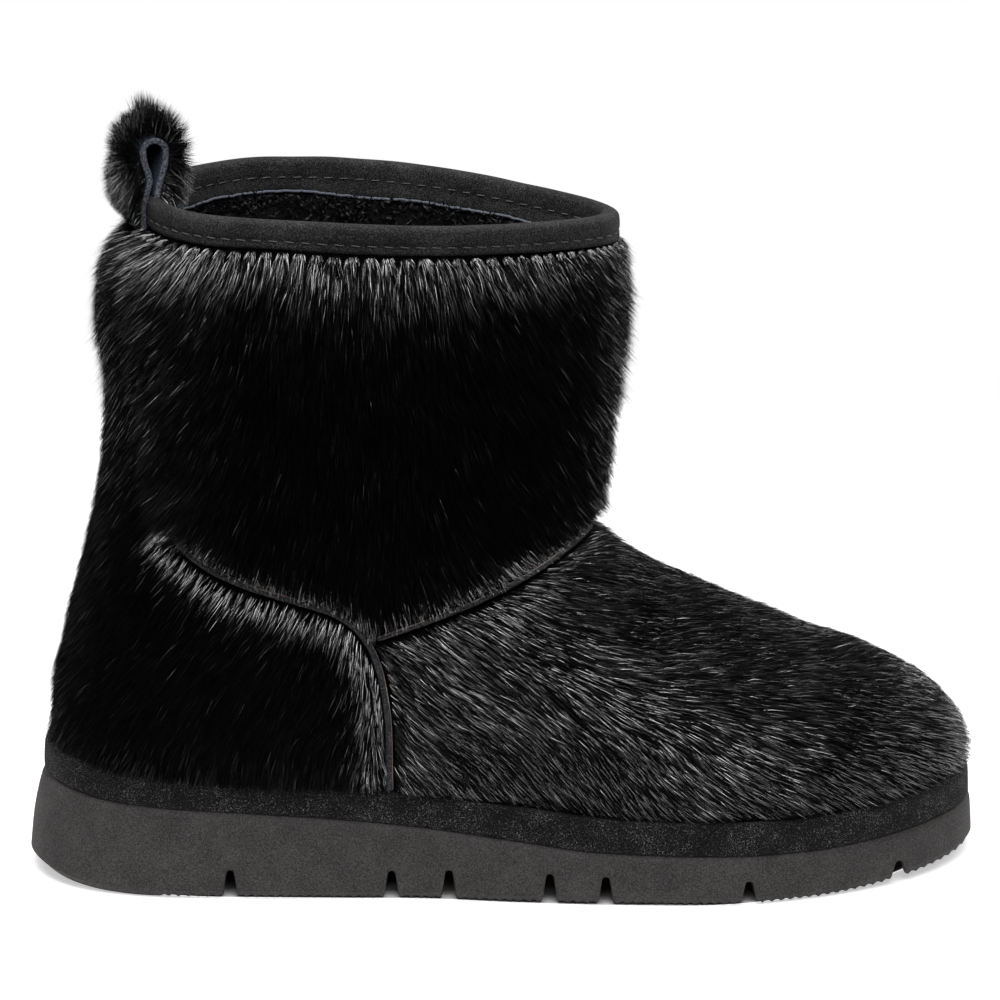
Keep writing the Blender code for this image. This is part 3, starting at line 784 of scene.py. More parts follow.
# How it stands. Angles are degrees; each is every hair's own spread and lock a lock's.
FLARE = (38, 35, 26)  # how much more steeply hair stands beside a seam
FLARE_REACH, COUNTER_REACH, COUNTER_FRONT = (7.0, 6.6, 3.8), 2.6, Ramp(-62, 16)
FLAT_FRONT, SHAFT_FRONT = 0.6, Ramp(-8, 25)  # how much less of it on the shaft's front
RISE = Values(all=17, seam=14, top=16, guard=3, vamp=4, off=0.8, each=4)
LIE = Values(all=4, front=-4, top=8, patch=7, each=3.5, lock=1.5, foot=16, stray=20)
LIE_BACK, LIE_BACK_TOP, BACK_TOP_REACH = 7, 18, 12
PATCH_SIZE, STRAYS = 26, 0.04
LOW_ON_COUNTER = Ramp(13, -11)  # heights above the midsole strip
REAR, FRONT_X, FRONT_REACH = Ramp(-88, -18), Ramp(2, 16), 34
FRONT_LAID = 0.8  # how much less the binding stands hair up at the front
TOP_REACH = 4.5  # how far down the binding stands its hair up
TWIST = Values(each=42, lock=8)
TURN = Values(each=4, lock=3)
BEND, BEND_AT_SEAM = 0.45, 0.2

# How long it is.
LENGTHS, EDGE_LENGTHS, LENGTH_SPREAD = (8.6, 8.0, 7.4), (2.5, 5.5), 0.14
LONG_HAIRS, UNDER_HAIRS = 1.05, 0.85
SHORTER = Values(toe=0.2, back=0.12, front=0.2, seam=0.45, top=0.35)
TOE_X = Ramp(75, 35)
WIDTHS = ((0.1, 0.17), (0.09, 0.16))  # from and to: other hairs, guard hairs
RUNS_TO_SEAM = 0.25  # a hair that points to the seam by more than this share is cut at it
SHORTEST, SHORTEST_AT_SEAM = 1.6, 3.0
ENDS_BEFORE = (0.3, 3.2)  # how far before the seam's middle a hair that runs into it ends
# fmt: off
OVERHANG = Table(  # how far hairs reach below the upper's lower edge
    "x spare", (-135, 5.2), (-70, 4.2), (-36, 1.8), (80, 1.8), (115, 3.6), (135, 5.0)
)
# fmt: on

# How it gathers.
TUFTS, TUFT_PINCH, TUFT_DEPTH = 86, 0.5, 2.6  # round the collar, a few more than stitches
TUFT_PULL, TUFT_ROOT = 0.15, 0.6
LOCK_CELLS = np.array(((0.8, 0.8, 2.2), (0.8, 0.8, 2.0), (2.2, 0.8, 1.0)))
LOCK_FUZZ = 0.25
SEAM_TUFT, SEAM_TUFT_REACH = 2.8, 3.5  # how long and how wide a tuft beside a seam is
SEAM_TUFTED = (0.35, 0.35, 0.1)
PULL = Values(all=0.1, top=0.2, lock=0.06, most=0.8)


def panels_of(points):
    in_front = before_counter_seam(points) > 0
    low = above_vamp_seam(points) < 0
    return np.where(in_front, np.where(low, VAMP, SHAFT), COUNTER)


def headings(points, normal, panel, rng):
    """The way the hair runs over the surface, and the angle at which it leans away from it."""
    x, z = points[:, 0], points[:, 2]
    lean = np.choose(panel, [table.at("lean", x) for table in LEANS])
    lean += LEAN_OVER_INSTEP * (panel == VAMP) * INSTEP_Z(z)
    low = (panel == COUNTER) * COUNTER_FOOT(z - feather(x))
    high = (panel == SHAFT) * STRAIGHT_X(x) * np.exp((z - shoulder(x)) / STRAIGHT_REACH)
    lean *= 1 - STRAIGHT * np.clip(low + high, 0, 1)
    for swing, size in LEAN_WAVES:
        lean += swing * waves(points, size, rng)
    lean = np.radians(lean)
    inward = TO_INNER_SIDE * (panel == VAMP)
    way = unit(np.stack((np.sin(lean), inward, -np.cos(lean)), -1))
    side_view = np.stack((np.sin(lean), np.zeros_like(lean), -np.cos(lean)), -1)
    outward = np.clip((side_view * normal).sum(1), 0, 1)
    off = np.degrees(np.arcsin(outward)) * np.choose(panel, STAND_OFF)
    return along_surface(way, normal), off


def hide_depth(outer, level, seam_distance):
    """How deep the hide lies under the fur: less at its edges, more in a seam's valley."""
    x, z = outer[:, 0], outer[:, 2]
    under_loop = PLUMP_REAR_X(x) * PLUMP_REAR_LEVEL(level)
    plump = REAR_PLUMP * under_loop * PLUMP_END_LEVEL(level)
    full = HIDE_DEPTH - VAMP_PLUMP * (PLUMP_VAMP_X(x) * PLUMP_VAMP_Z(z))
    base = HIDE_EDGE + (full - HIDE_EDGE) * np.minimum(TOP_LEVEL(level), FOOT_LEVEL(level))
    return base - plump + SEAM_PULL * bell(seam_distance, SEAM_REACH)


def seam_slope(seam_distance):
    """How steeply the hair sees the hide fall towards a seam."""
    reach = seam_distance / SEAM_REACH
    return SLOPE_SEEN * SEAM_PULL * 2 * reach / SEAM_REACH * np.exp(-(reach**2))


class Coat:
    """All the hairs of the upper, combed, cut and gathered in locks."""

    def __init__(self, skin, seams, rng):
        self.rng = rng
        turn, level = skin.scatter(HAIRS, rng)
        edge_turn = rng.uniform(0, TAU, EDGE_HAIRS)
        edge_level = 1 - np.abs(rng.normal(0, 0.0025, EDGE_HAIRS))
        turn, level = np.concatenate((turn, edge_turn)), np.concatenate((level, edge_level))
        outer, normal = skin.at(turn, level)
        way, distance = seams.nearest(outer)
        crowd = (1 + SEAM_CROWD * bell(distance, CROWD_REACH)) / (1 + SEAM_CROWD)
        keep = distance > SEAM_BARE + SEAM_RAGGED * rng.random(len(turn))
        keep &= rng.random(len(turn)) < crowd
        self.edge = (np.arange(len(turn)) >= HAIRS)[keep]
        self.turn, self.level, self.distance = turn[keep], level[keep], distance[keep]
        self.outer, normal, way = outer[keep], normal[keep], way[keep]
        self.x, _, self.z = self.outer.T
        self.above_strip = self.z - feather(self.x)
        self.below_top = shoulder(self.x, self.turn) - self.z
        self.seam_place = self.outer + way
        self.count = len(self.outer)
        depth = hide_depth(self.outer, self.level, self.distance)
        self.root = self.outer - normal * depth[:, None]
        self.panel = panels_of(self.outer)
        reach = np.choose(self.panel, FLARE_REACH)
        reach += COUNTER_REACH * (self.panel == COUNTER) * COUNTER_FRONT(self.x)
        self.near_seam = np.exp(-((self.distance / reach) ** 3))
        self.near_top = np.exp(-self.below_top / TOP_REACH)
        self.rear = REAR(self.x)
        self.front = FRONT_X(self.x) * bell(self.below_top, FRONT_REACH)
        self.guard = self.edge | (rng.random(self.count) < self.guard_share(normal))
        self.soft = ~self.guard & (rng.random(self.count) < self.soft_share(normal))
        heading, self.off = headings(self.outer, normal, self.panel, rng)
        self.towards_seam = (heading * way).sum(1) / np.maximum(self.distance, 0.1)
        self.slope = seam_slope(self.distance)
        self.slope *= np.where(self.towards_seam > RUNS_TO_SEAM, SLOPE_LEFT, 1)
        self.normal = self.tilted(normal, way)
        self.heading = along_surface(heading, self.normal)
        self.to_tuft = self.way_to_tuft(skin)
        self.lock = self.locks()
        self.points = self.comb()

    def on_toes(self, normal):
        """1 on the vamp's upper side, where it looks up."""
        return (self.panel == VAMP) * TOES_LOOK_UP(normal[:, 2])

    def soft_share(self, normal):
        """The share of hairs with a softer gloss: on the toes and where hair fades to black."""
        share = np.choose(self.panel, SOFT_SHARE) + SOFT.toes * self.on_toes(normal)
        at_top = (0.3 + 0.7 * FROM_BACK(self.x)) * bell(self.below_top, SOFT.top_reach)
        share += SOFT.top * at_top + SOFT.seam * bell(self.distance, SOFT.seam_reach)
        share += SOFT.back * SOFT_BACK(self.x) * (self.panel == SHAFT)
        return share + SOFT.foot * (self.panel == COUNTER) * SOFT_FOOT(self.above_strip)

    def guard_share(self, normal):
        """The share of long glossy hairs: most beside seams and the collar, few on the toes."""
        share = np.choose(self.panel, GUARD_SHARE) * (1 - FEW_ON_TOES * self.on_toes(normal))
        for more, along, up in GUARD_PATCHES:
            share += more * along(self.x) * up(self.z)
        at_seam = np.choose(self.panel, SEAM_SHARE) * self.near_seam
        at_top = TOP_SHARE * self.near_top * (0.25 + 0.75 * FROM_BACK(self.x))
        return share + np.maximum(at_seam, at_top)

    def tilted(self, normal, way):
        """The hide's own normals, where a seam or the binding pulls it in."""
        to_seam = way / np.maximum(self.distance, 0.1)[:, None]
        swell = SWELL * np.exp(-self.below_top / SWELL_REACH)
        lean = to_seam * self.slope[:, None] + np.outer(swell, (0, 0, 1))
        rough = np.stack([waves(self.outer, ROUGH_SIZE, self.rng) for _ in range(3)], -1) * ROUGH
        return unit(normal + lean + rough)

    def way_to_tuft(self, skin):
        """How far each hair is drawn along the collar to the middle of its tuft."""
        middle = (np.floor(self.turn / TAU * TUFTS) + 0.5) * TAU / TUFTS
        pinch = TUFT_PINCH * np.exp(-np.maximum(self.below_top, 0) / TUFT_DEPTH)
        return (skin.at(middle, self.level)[0] - self.outer) * pinch[:, None]

    def locks(self):
        """Each hair's lock: by a grid over its panel, or by its tuft under the binding."""
        fuzzy = self.root + self.rng.normal(0, LOCK_FUZZ, (self.count, 3))
        beside = self.distance < SEAM_TUFT_REACH
        fuzzy = np.where(beside[:, None], self.seam_place, fuzzy)
        cells = np.where(beside[:, None], SEAM_TUFT, LOCK_CELLS[self.panel])
        key = cell_of(fuzzy, cells) * 6 + self.panel + 3 * beside
        tuft = np.floor(self.turn / TAU * TUFTS).astype(np.int64)
        return numbered(np.where(self.edge, -1 - tuft, key))

    def of_lock(self, spread):
        return self.rng.normal(0, spread, self.lock.max() + 1)[self.lock]

    def each(self, spread):
        return self.rng.normal(0, spread, self.count)

    def comb(self):
        length = self.cut(self.grown())
        near_top = self.near_top * (1 - FRONT_LAID * self.front)
        rise, lie = self.angles(near_top)
        twist = self.each(TWIST.each) + self.of_lock(TWIST.lock)
        turned = np.radians(self.each(TURN.each) + self.of_lock(TURN.lock))
        across = np.cross(self.heading, self.normal)
        heading = self.heading * np.cos(turned)[:, None] + across * np.sin(turned)[:, None]
        thin, thick = np.array(WIDTHS).T[:, self.guard.astype(int)]
        width = thin + (thick - thin) * self.rng.random(self.count)
        bend = BEND - BEND_AT_SEAM * self.near_seam
        points = hairs(self.root, heading, self.normal, length, rise, lie, width, twist, bend)
        tufted = (self.distance < SEAM_TUFT_REACH) * np.choose(self.panel, SEAM_TUFTED)
        pull = PULL.all + PULL.top * near_top + tufted + self.of_lock(PULL.lock)
        pull = np.where(self.edge, TUFT_PULL, pull)
        points[:, 0] += self.to_tuft
        points[:, 1:3] += TUFT_ROOT * self.to_tuft[:, None]
        return gathered(points, self.lock, np.clip(pull, 0, PULL.most))

    def grown(self):
        """Lengths before the hairs are cut."""
        base = np.choose(self.panel, LENGTHS) * (1 - SHORTER.toe * TOE_X(self.x))
        base *= 1 - SHORTER.back * self.rear
        kind = np.where(self.guard | self.soft, LONG_HAIRS, UNDER_HAIRS)
        length = base * kind * np.exp(self.each(LENGTH_SPREAD))
        length = np.where(self.edge, self.rng.uniform(*EDGE_LENGTHS, self.count), length)
        at_top = SHORTER.top * self.near_top * (1 - self.rear)
        length *= 1 - SHORTER.front * self.front
        return length * (1 - SHORTER.seam * self.near_seam - at_top)

    def cut(self, length):
        """Hairs end at the seam that they run to, and a little below the upper's lower edge."""
        to_seam = self.distance / np.maximum(self.towards_seam, 0.3) + 0.2
        to_seam -= self.rng.uniform(*ENDS_BEFORE, self.count)
        to_seam = np.maximum(to_seam, SHORTEST_AT_SEAM)
        ahead = self.towards_seam > RUNS_TO_SEAM
        length = np.where(ahead, np.minimum(length, to_seam), length)
        over = self.root[:, 2] - feather(self.root[:, 0])
        steep = np.maximum(-self.heading[:, 2], 0.25)
        spare = OVERHANG.at("spare", self.root[:, 0])
        to_strip = over / steep * 1.05 + spare * self.rng.uniform(0.3, 1.2, self.count)
        return np.maximum(np.minimum(length, to_strip), SHORTEST)

    def angles(self, near_top):
        """At what angles the hairs leave the hide, and lie from their widest place on."""
        flare = np.choose(self.panel, FLARE) * self.near_seam
        flare *= 1 - FLAT_FRONT * (self.panel == SHAFT) * SHAFT_FRONT(self.x)
        flare += np.degrees(np.arctan(self.slope)) * self.towards_seam
        stray = self.rng.random(self.count) < STRAYS
        on_vamp = self.panel == VAMP
        rise = RISE.all + RISE.seam * self.near_seam + RISE.top * near_top
        rise += RISE.guard * self.guard + RISE.vamp * on_vamp + self.each(RISE.each)
        rise += RISE.off * self.off
        patches = LIE.patch * waves(self.outer, PATCH_SIZE, self.rng) * on_vamp
        lie = LIE.all + LIE.front * self.front + flare + LIE.top * near_top + patches
        lie += self.each(LIE.each) + self.of_lock(LIE.lock)
        lie += self.off + LIE.foot * (self.panel == COUNTER) * LOW_ON_COUNTER(self.above_strip)
        lie += LIE.stray * stray * self.rng.random(self.count)
        lie += self.rear * (LIE_BACK + LIE_BACK_TOP * np.exp(-self.below_top / BACK_TOP_REACH))
        return rise, lie

    def tints(self):
        """From 0, black, to 1, the palest hairs."""
        return np.clip(self.rng.random(self.count) * 0.95 + self.of_lock(0.05), 0, 1)


def build_fur(skin, seams, finish):
    rng = np.random.default_rng(SEED)
    coat = Coat(skin, seams, rng)
    tints = coat.tints()
    kinds = (
        ("guard", coat.guard, finish["guard_hair"]),
        ("soft", coat.soft, finish["soft_hair"]),
        ("under", ~coat.guard & ~coat.soft, finish["underfur"]),
    )
    for panel, name in enumerate(PANELS):
        for side, lateral in (("lateral", True), ("medial", False)):
            here = (coat.panel == panel) & ((coat.outer[:, 1] < 0) == lateral)
            for kind, of_kind, material in kinds:
                chosen = np.flatnonzero(here & of_kind)
                parts = np.array_split(chosen, math.ceil(len(chosen) / HAIRS_IN_PIECE))
                for i, part in enumerate(parts):
                    label = f"{name}_{side}_{kind}" + (f"_{i + 1}" if len(parts) > 1 else "")
                    hair_piece(label, coat.points[part], tints[part], material, rng)


# ---------------------------------------------------------------- hide and lining


CURLS = 30_000
CURL_SIZE, CURL_HEIGHT, CURL_FINE = 3.2, 1.5, 1.1
CURLS_START = 2.4  # how far under the fur's upper edge


def build_hide(skin, seams, finish):
    """The hide with its dense undercoat, from the binding down into the strip."""
    turn = around(300)
    rings = []
    for level in np.linspace(0, 1, 60):
        outer, normal = skin.ring_at(turn, level)
        depth = hide_depth(outer, level, seams.nearest(outer)[1])
        rings.append(outer - normal * depth[:, None])
    tuck = rings[-1] + (0, 0, 3)
    tuck[:, :2] = collar(turn, BINDING_SKIN + GAP, SHOULDER_DROP - 3)[:, :2]
    foot = rings[0] - (0, 0, 3)
    hide = ring_piece("hide", (foot, *rings, tuck), finish["undercoat"])
    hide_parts("upper")


def curl(point):
    """Height of the fleece's curls at a point."""
    place = Vector(point) / CURL_SIZE
    lumps = noise.noise(place + Vector((7, 1, 3))) + 0.5
    return CURL_HEIGHT * lumps + CURL_FINE * abs(noise.noise(place * 2.3))


def build_lining(skin, finish):
    """Curly fleece inside the boot, from under the binding down to the footbed."""
    turn = around(200)
    rings = []
    for level in np.linspace(0.02, 1, 44):
        points, normal = skin.ring_at(turn, level, WALL - 0.6)
        deep = smooth_step((1.0 - level) / 0.02)
        rings.append(points - normal * [[curl(point) * deep] for point in points])
    rings.append(rings[-1] + (0, 0, 2))
    faces = band(len(rings), len(turn))[:, ::-1]
    mesh_piece("lining", rings, faces, finish["fleece"])


def build_curls(skin, finish):
    """Short curled locks of fleece on the lining, most of them where the collar shows them."""
    rng = np.random.default_rng(SEED + 2)
    turn = rng.uniform(0, TAU, CURLS)
    level = 1 - 0.75 * rng.random(CURLS) ** 2.4
    root, normal = skin.at(turn, level, WALL - 0.4 + rng.uniform(0, 1.4, CURLS))
    low = shoulder(root[:, 0], turn) - root[:, 2] > CURLS_START
    root, normal, count = root[low], normal[low], int(low.sum())
    heading = unit(np.cross(normal, rng.normal(size=(count, 3))))
    length = rng.uniform(1.8, 3.4, count)
    rise, lie = rng.uniform(20, 70, count), rng.uniform(-60, 10, count)
    twist, width = rng.normal(0, 40, count), rng.uniform(0.4, 0.9, count)
    points = hairs(root, heading, -normal, length, rise, lie, width, twist)
    hair_piece("lining_curls", points, rng.random(count), finish["fleece_curls"], rng)


def build_footbed(skin, finish):
    """The fleece footbed, a sheet from side to side inside the upper."""
    level = INSOLE / (shoulder(0) - feather(0))[0]
    half = np.linspace(0, math.pi, 110)
    outer = skin.ring_at(half, level, WALL)[0]
    inner = skin.ring_at(TAU - half, level, WALL)[0]
    rows = []
    for share in np.linspace(0, 1, 34):
        row = outer * (1 - share) + inner * share
        row[:, 2] = feather(row[:, 0]) - GAP + INSOLE
        row[:, 2] += [curl(point) * 0.6 for point in row]
        rows.append(row)
    columns = len(half)
    here = np.arange(columns - 1)
    low = np.arange(len(rows) - 1)[:, None] * columns
    corners = (low + here, low + columns + here, low + columns + here + 1, low + here + 1)
    faces = np.stack(corners, -1).reshape(-1, 4)
    footbed = mesh_piece("footbed", rows, faces, finish["fleece"])
    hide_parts("insole")


# ---------------------------------------------------------------- sole


RIB_PITCH, RIB_DEPTH, RIBS_X = 2.8, 0.75, Ramp(-106, 6)
# Half a groove's width over its height, from its tip down to its flared mouth.
GROOVE_WIDTHS = (0, 0.45, 0.85, 1.1, 1.95, 2.4, 3.25)
GROOVE_EDGE = 0.8  # how far a groove's edge is rounded, by at most half a millimetre


def groove(x):
    """How far the grooves across the sole rise over its bottom at x."""
    rise = np.zeros_like(x)
    for middle, depth in zip(GROOVES.key, GROOVES.columns["depth"]):
        heights = (depth, depth - 0.1, depth - 0.4, depth - 1.0, 1.0, 0.3, 0.0)
        rise = np.maximum(rise, np.interp(np.abs(x - middle), GROOVE_WIDTHS, heights, right=0))
    return rise


def ribs(x):
    """The fine ribs of the tread: 0 on a rib's edge and RIB_DEPTH between two."""
    wave = np.abs((x / RIB_PITCH) % 1 - 0.5) * 2
    return RIB_DEPTH * (1 - wave**1.5) * RIBS_X(x)


def sole_turns():
    """Turns round the sole, close together at its ends, its ribs and its grooves."""
    back, front = OUTSOLE_RINGS.at("back", 1), OUTSOLE_RINGS.at("front", 1)
    middle, half = (back + front) / 2, (front - back) / 2
    x = np.arange(-138, 138, 0.7)
    for groove_x in GROOVES.key:
        x = np.concatenate((x, groove_x + np.arange(-4.5, 4.6, 0.18)))
    share = np.clip((x - middle + half) / (2 * half), 0, 1)
    turn = np.concatenate((np.arccos(1 - 2 * share), np.linspace(0, math.pi, 150)))
    turn = np.unique(np.round(turn, 5))
    turn = turn[np.concatenate(([True], np.diff(turn) > 4e-4))]
    turn[-1] = math.pi
    return np.concatenate((turn, TAU - turn[-2:0:-1]))


def plate_ring(table, order, turn):
    ends = (table.at(name, order) for name in ("back", "front", "inset"))
    return sole_ring(turn, *ends)


def build_outsole(finish):
    turn = sole_turns()
    rings = []
    orders = (np.linspace(0, 1, 7), np.linspace(1.2, 2.8, 7), np.linspace(3, 4, 5))
    for order in np.concatenate(orders):
        x, y = plate_ring(OUTSOLE_RINGS, order, turn)
        bottom, top = SOLE.at("bottom", x), SOLE.at("top", x)
        place, offset = OUTSOLE_RINGS.at("place", order), OUTSOLE_RINGS.at("offset", order)
        cut = groove(x)
        rise = np.maximum(cut, ribs(x) * np.clip(1 - order, 0, 1))
        height = (top - bottom) * place + offset
        z = bottom + rise + height * (top - bottom - rise) / (top - bottom)
        run = np.gradient(x)
        slope = np.divide(np.gradient(cut), run, out=np.zeros_like(x), where=run != 0)
        from_edge = (z - bottom - cut) / np.sqrt(1 + slope**2)
        y -= np.sign(y) * 0.5 * np.clip(1 - from_edge / GROOVE_EDGE, 0, 1) ** 2 * (cut > 0)
        rings.append(np.stack((x, y, z), -1))
    count, columns = len(rings), len(turn)
    faces = (band(count, columns), rungs(0, columns), rungs(count - 1, columns))
    rubber = finish["rubber"]
    outsole = mesh_piece("rubber_outsole", rings, np.concatenate(faces), rubber)
    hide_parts("outsole")


def build_strip(finish):
    """The covered midsole strip, with a soft top edge."""
    turn = around(560)
    rings = []
    orders = (np.linspace(0, 1, 3), np.linspace(1.25, 2, 5), np.linspace(2.2, 3, 6))
    for order in np.concatenate(orders):
        x, y = plate_ring(MIDSOLE_RINGS, order, turn)
        z = SOLE.at("top", x) + 0.05 + MIDSOLE_RINGS.at("rise", order)
        points = np.stack((x, y, z), -1)
        points[:, :2] += unit(points[:, :2]) * 0.12 * noise_at(points, 6.0)[:, None]
        rings.append(points)
    faces = (band(len(rings), len(turn)), rungs(len(rings) - 1, len(turn)))
    suede = finish["suede"]
    strip = mesh_piece("suede_strip", rings, np.concatenate(faces), suede)
    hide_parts("midsole")


# ---------------------------------------------------------------- seams, binding and stitches


PIPING_HALF, VAMP_PIPING_HALF = 0.92, 0.72
PIPING_CROWN, PIPING_DEPTH, PIPING_HIDDEN, HIDDEN_Z = 0.7, 1.0, 1.6, Ramp(107, 10)
RAW_RADIUS, RAW_WANDER, RAW_WANDER_SIZE = 0.14, 0.7, 9.0
RAW_SHOWN_Z = Ramp(78, 12)  # the counter piping's raw edge shows from this height on
STITCH_PITCH, STITCH_LENGTH, STITCH_RADIUS, STITCH_DROP = 4.6, 3.3, 0.21, 5.7
STITCH_RINGS, STITCH_SIDES = 7, 6
LONGER_INSIDE, WAVY = 2.3, 0.9  # how much lower the binding reaches inside, and how unevenly
FACING_RADIUS, FACING_RAGGED, FACING_LUMPS = 0.42, 0.3, 1.6


def line_frame(skin, turn, level, depth):
    """Path, side and normal along a line of the surface; side points up or to the front."""
    path, normal = skin.at(turn, level, depth)
    along = unit(np.gradient(path, axis=0))
    side = unit(np.cross(normal, along))
    return path, side, unit(np.cross(along, side))


def build_piping(skin, finish):
    lines = {
        "counter_piping_lateral": (counter_line(1), 1),
        "counter_piping_medial": (counter_line(-1), -1),
        "vamp_piping": (vamp_line(3.4), 1),
    }
    for name, (line, way) in lines.items():
        height = skin.at(*line)[0][:, 2]
        if name == "vamp_piping":
            wide, shown = VAMP_PIPING_HALF, 0.3
        else:
            wide, shown = PIPING_HALF, 0.5 * RAW_SHOWN_Z(height) - 0.1
        crown = [
            (wide * math.cos(angle), PIPING_CROWN * math.sin(angle) ** 0.7)
            for angle in np.linspace(0, math.pi, 9)
        ]
        section = [*crown, (-wide, -1.0), (wide, -1.0)]
        depth = PIPING_DEPTH + PIPING_HIDDEN * HIDDEN_Z(height)
        path, side, up = line_frame(skin, *line, depth)
        side = side * way
        ends = tapered(len(path), 0.01)
        rings = sweep(path, side, up, section, ends)
        piping = ring_piece(name + "_strip", rings, finish["piping"])
        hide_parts(name)
        rise = shown + RAW_WANDER * noise_at(path, RAW_WANDER_SIZE)
        edge_path = path + side * (wide - 0.04) + up * rise[:, None]
        rings = sweep(edge_path, side, up, circle(RAW_RADIUS, 6), ends)
        ring_piece(name + "_raw_edge", rings, finish["raw_edge"])


def binding_section():
    """Inset and drop of the folded band: up its outside, over the fold and down its inside."""
    outer = [(0.9, 8.0), (0.3, 8.1), (0.05, 7.8), (0.0, 7.2), (0.03, 6.5), (0.22, 5.9)]
    outer += [(0.22, 5.5), (0.02, 4.9), (-0.05, 4.2), (-0.03, 3.2)]
    radius = BINDING_FULL / 2
    fold = []
    for angle in np.linspace(0, math.pi, 13):
        inset = radius - (radius - 0.05) * math.cos(angle)
        fold.append((inset, 2.2 - 2.2 * math.sin(angle) ** 0.8))
    inner = [(BINDING_FULL - inset, drop) for inset, drop in reversed(outer)]
    back = [(BINDING_FULL - BINDING_SKIN, 7.6), (BINDING_FULL - BINDING_SKIN, 3.0)]
    back += [(BINDING_SKIN, 3.0), (BINDING_SKIN, 7.6)]
    return [*outer, *fold, *inner, *back]


def inner_drop(turn):
    """How much lower the binding's inner edge was cut, unevenly."""
    waves_round = 0.45 * np.sin(3 * turn + 1) + 0.35 * np.sin(7 * turn)
    return LONGER_INSIDE + WAVY * (waves_round + 0.25 * np.sin(13 * turn + 2))


def build_binding(finish):
    turn = around(420)
    rings = []
    for inset, drop in binding_section():
        inner = smooth_step((inset - BINDING_FULL + 2.0) / 1.2) * smooth_step((drop - 4.5) / 3)
        points = collar(turn, inset, drop + inner * inner_drop(turn))
        points[:, 2] += 0.2 * noise_at(points, 14.0) * (1 - inner)
        rings.append(points)
    binding = ring_piece("binding", rings, finish["nubuck"], closed=True)
    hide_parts("collar_binding")
    path = collar(turn, BINDING_FULL + 0.05, BINDING_DROP + 0.1 + inner_drop(turn))
    ragged = np.stack([noise_at(path + shift, FACING_LUMPS) for shift in (0, 11, 23)], -1)
    path = path + FACING_RAGGED * ragged
    side, up = level_frame(unit(np.roll(path, -1, 0) - np.roll(path, 1, 0)))
    rings = sweep(path, side, up, circle(FACING_RADIUS, 8))
    ring_piece("facing_edge", rings, finish["facing_edge"], closed=True)


def build_stitches(finish):
    """Two rows of stitches: round the binding's outside and round its inside."""
    fine = np.linspace(0, TAU, 2001)
    span = np.linspace(-1, 1, STITCH_RINGS)
    places = np.linspace(0, STITCH_LENGTH, STITCH_RINGS)
    section = circle(STITCH_RADIUS, STITCH_SIDES)
    one = band(STITCH_RINGS, STITCH_SIDES)
    for name, inset, way in (("outer", 0.12, 1), ("inner", BINDING_FULL - 0.12, -1)):
        line = collar(fine, inset, STITCH_DROP)
        length = np.concatenate(([0], np.cumsum(np.linalg.norm(np.diff(line, axis=0), axis=1))))
        count = int(length[-1] / STITCH_PITCH)
        sink = 0.34 * np.abs(span) ** 3 * way
        stitches = []
        for start in np.arange(count) * length[-1] / count:
            turn = np.interp(start + places, length, fine)
            path = collar(turn, inset + sink, STITCH_DROP + 0.12 * span)
            side, up = level_frame(unit(np.gradient(path, axis=0)))
            stitches.append(sweep(path, side, up, section, tapered(STITCH_RINGS, 0.25, 0.3)))
        faces = np.concatenate([one + i * STITCH_RINGS * STITCH_SIDES for i in range(count)])
        mesh_piece(f"{name}_stitches", stitches, faces, finish["thread"])


# ---------------------------------------------------------------- pull loop


STRAP_WIDTH, STRAP_THICK, STRAP_BOW = 21.0, 1.7, 0.0105
LOOP_TOP, LOOP_FOOT = 216.6, 196.4
OUTER_FOOT = LOOP_FOOT - 4.3  # the outer leg ends just below the binding
LOOP_INSIDE, LOOP_PINCHED = 5.0, 1.9  # at its widest and over the collar
LOOP_PINCH, PINCH_AT, PINCH_REACH = 1.8, 206, 4.5  # of the outer leg
LOOP_TWIST, TWIST_Z = math.radians(12.5), Ramp(LOOP_FOOT, 10)

LOOP_HAIRS, INNER_LOOP_HAIRS = 18_000, 3_000
LOOP_LENGTHS, LOOP_WIDTHS = (7.5, 11.5), (0.13, 0.24)
LONGER_IN_FRONT, LOOP_BACK, LOOP_LOW, LOW_Z = 1.15, 0.8, 0.3, Ramp(214, -6)
LOOP_TOP_DEPTH = 9  # over what height the hair turns up towards the loop's top
LOOP_LOCK, LOOP_FUZZ, LOOP_PULL = 1.6, 0.3, 0.4


def loop_path(count=28):
    """The strap's inner face in the side view, and the way out of the loop at each place."""
    half = LOOP_INSIDE / 2
    left = COLLAR_BACK + 0.3
    top = LOOP_TOP - half
    rise = np.linspace(0, 1, count)
    heights = LOOP_FOOT + (top - LOOP_FOOT) * rise
    outer = OUTER_FOOT + (top - OUTER_FOOT) * rise
    angle = np.linspace(math.pi, 0, 21)[1:-1]
    widening = (LOOP_INSIDE - LOOP_PINCHED) * smooth_step(rise[::-1] * 1.25 - 0.2)
    pinch = LOOP_PINCH * bell(outer - PINCH_AT, PINCH_REACH)
    right = left + LOOP_PINCHED + widening
    x = np.concatenate((left + pinch, left + half * (1 + np.cos(angle)), right))
    z = np.concatenate((outer, top + half * np.sin(angle), heights[::-1]))
    way_x = np.concatenate((np.full(count, -1.0), np.cos(angle), np.ones(count)))
    way_z = np.concatenate((np.zeros(count), np.sin(angle), np.zeros(count)))
    return np.stack((x, z), -1), np.stack((way_x, way_z), -1)


def loop_points(place, way, across, out):
    """Points of the strap: across its width, and out from its inner face."""
    x = place[..., 0] + way[..., 0] * out + STRAP_BOW * across**2
    z = place[..., 1] + way[..., 1] * out
    turn = LOOP_TWIST * TWIST_Z(z)
    from_edge = across + STRAP_WIDTH / 2
    middle = COLLAR_BACK + 3
    return np.stack(
        (
            middle + (x - middle) * np.cos(turn) - from_edge * np.sin(turn),
            across - from_edge * (1 - np.cos(turn)) + (x - middle) * np.sin(turn),
            z,
        ),
        -1,
    )


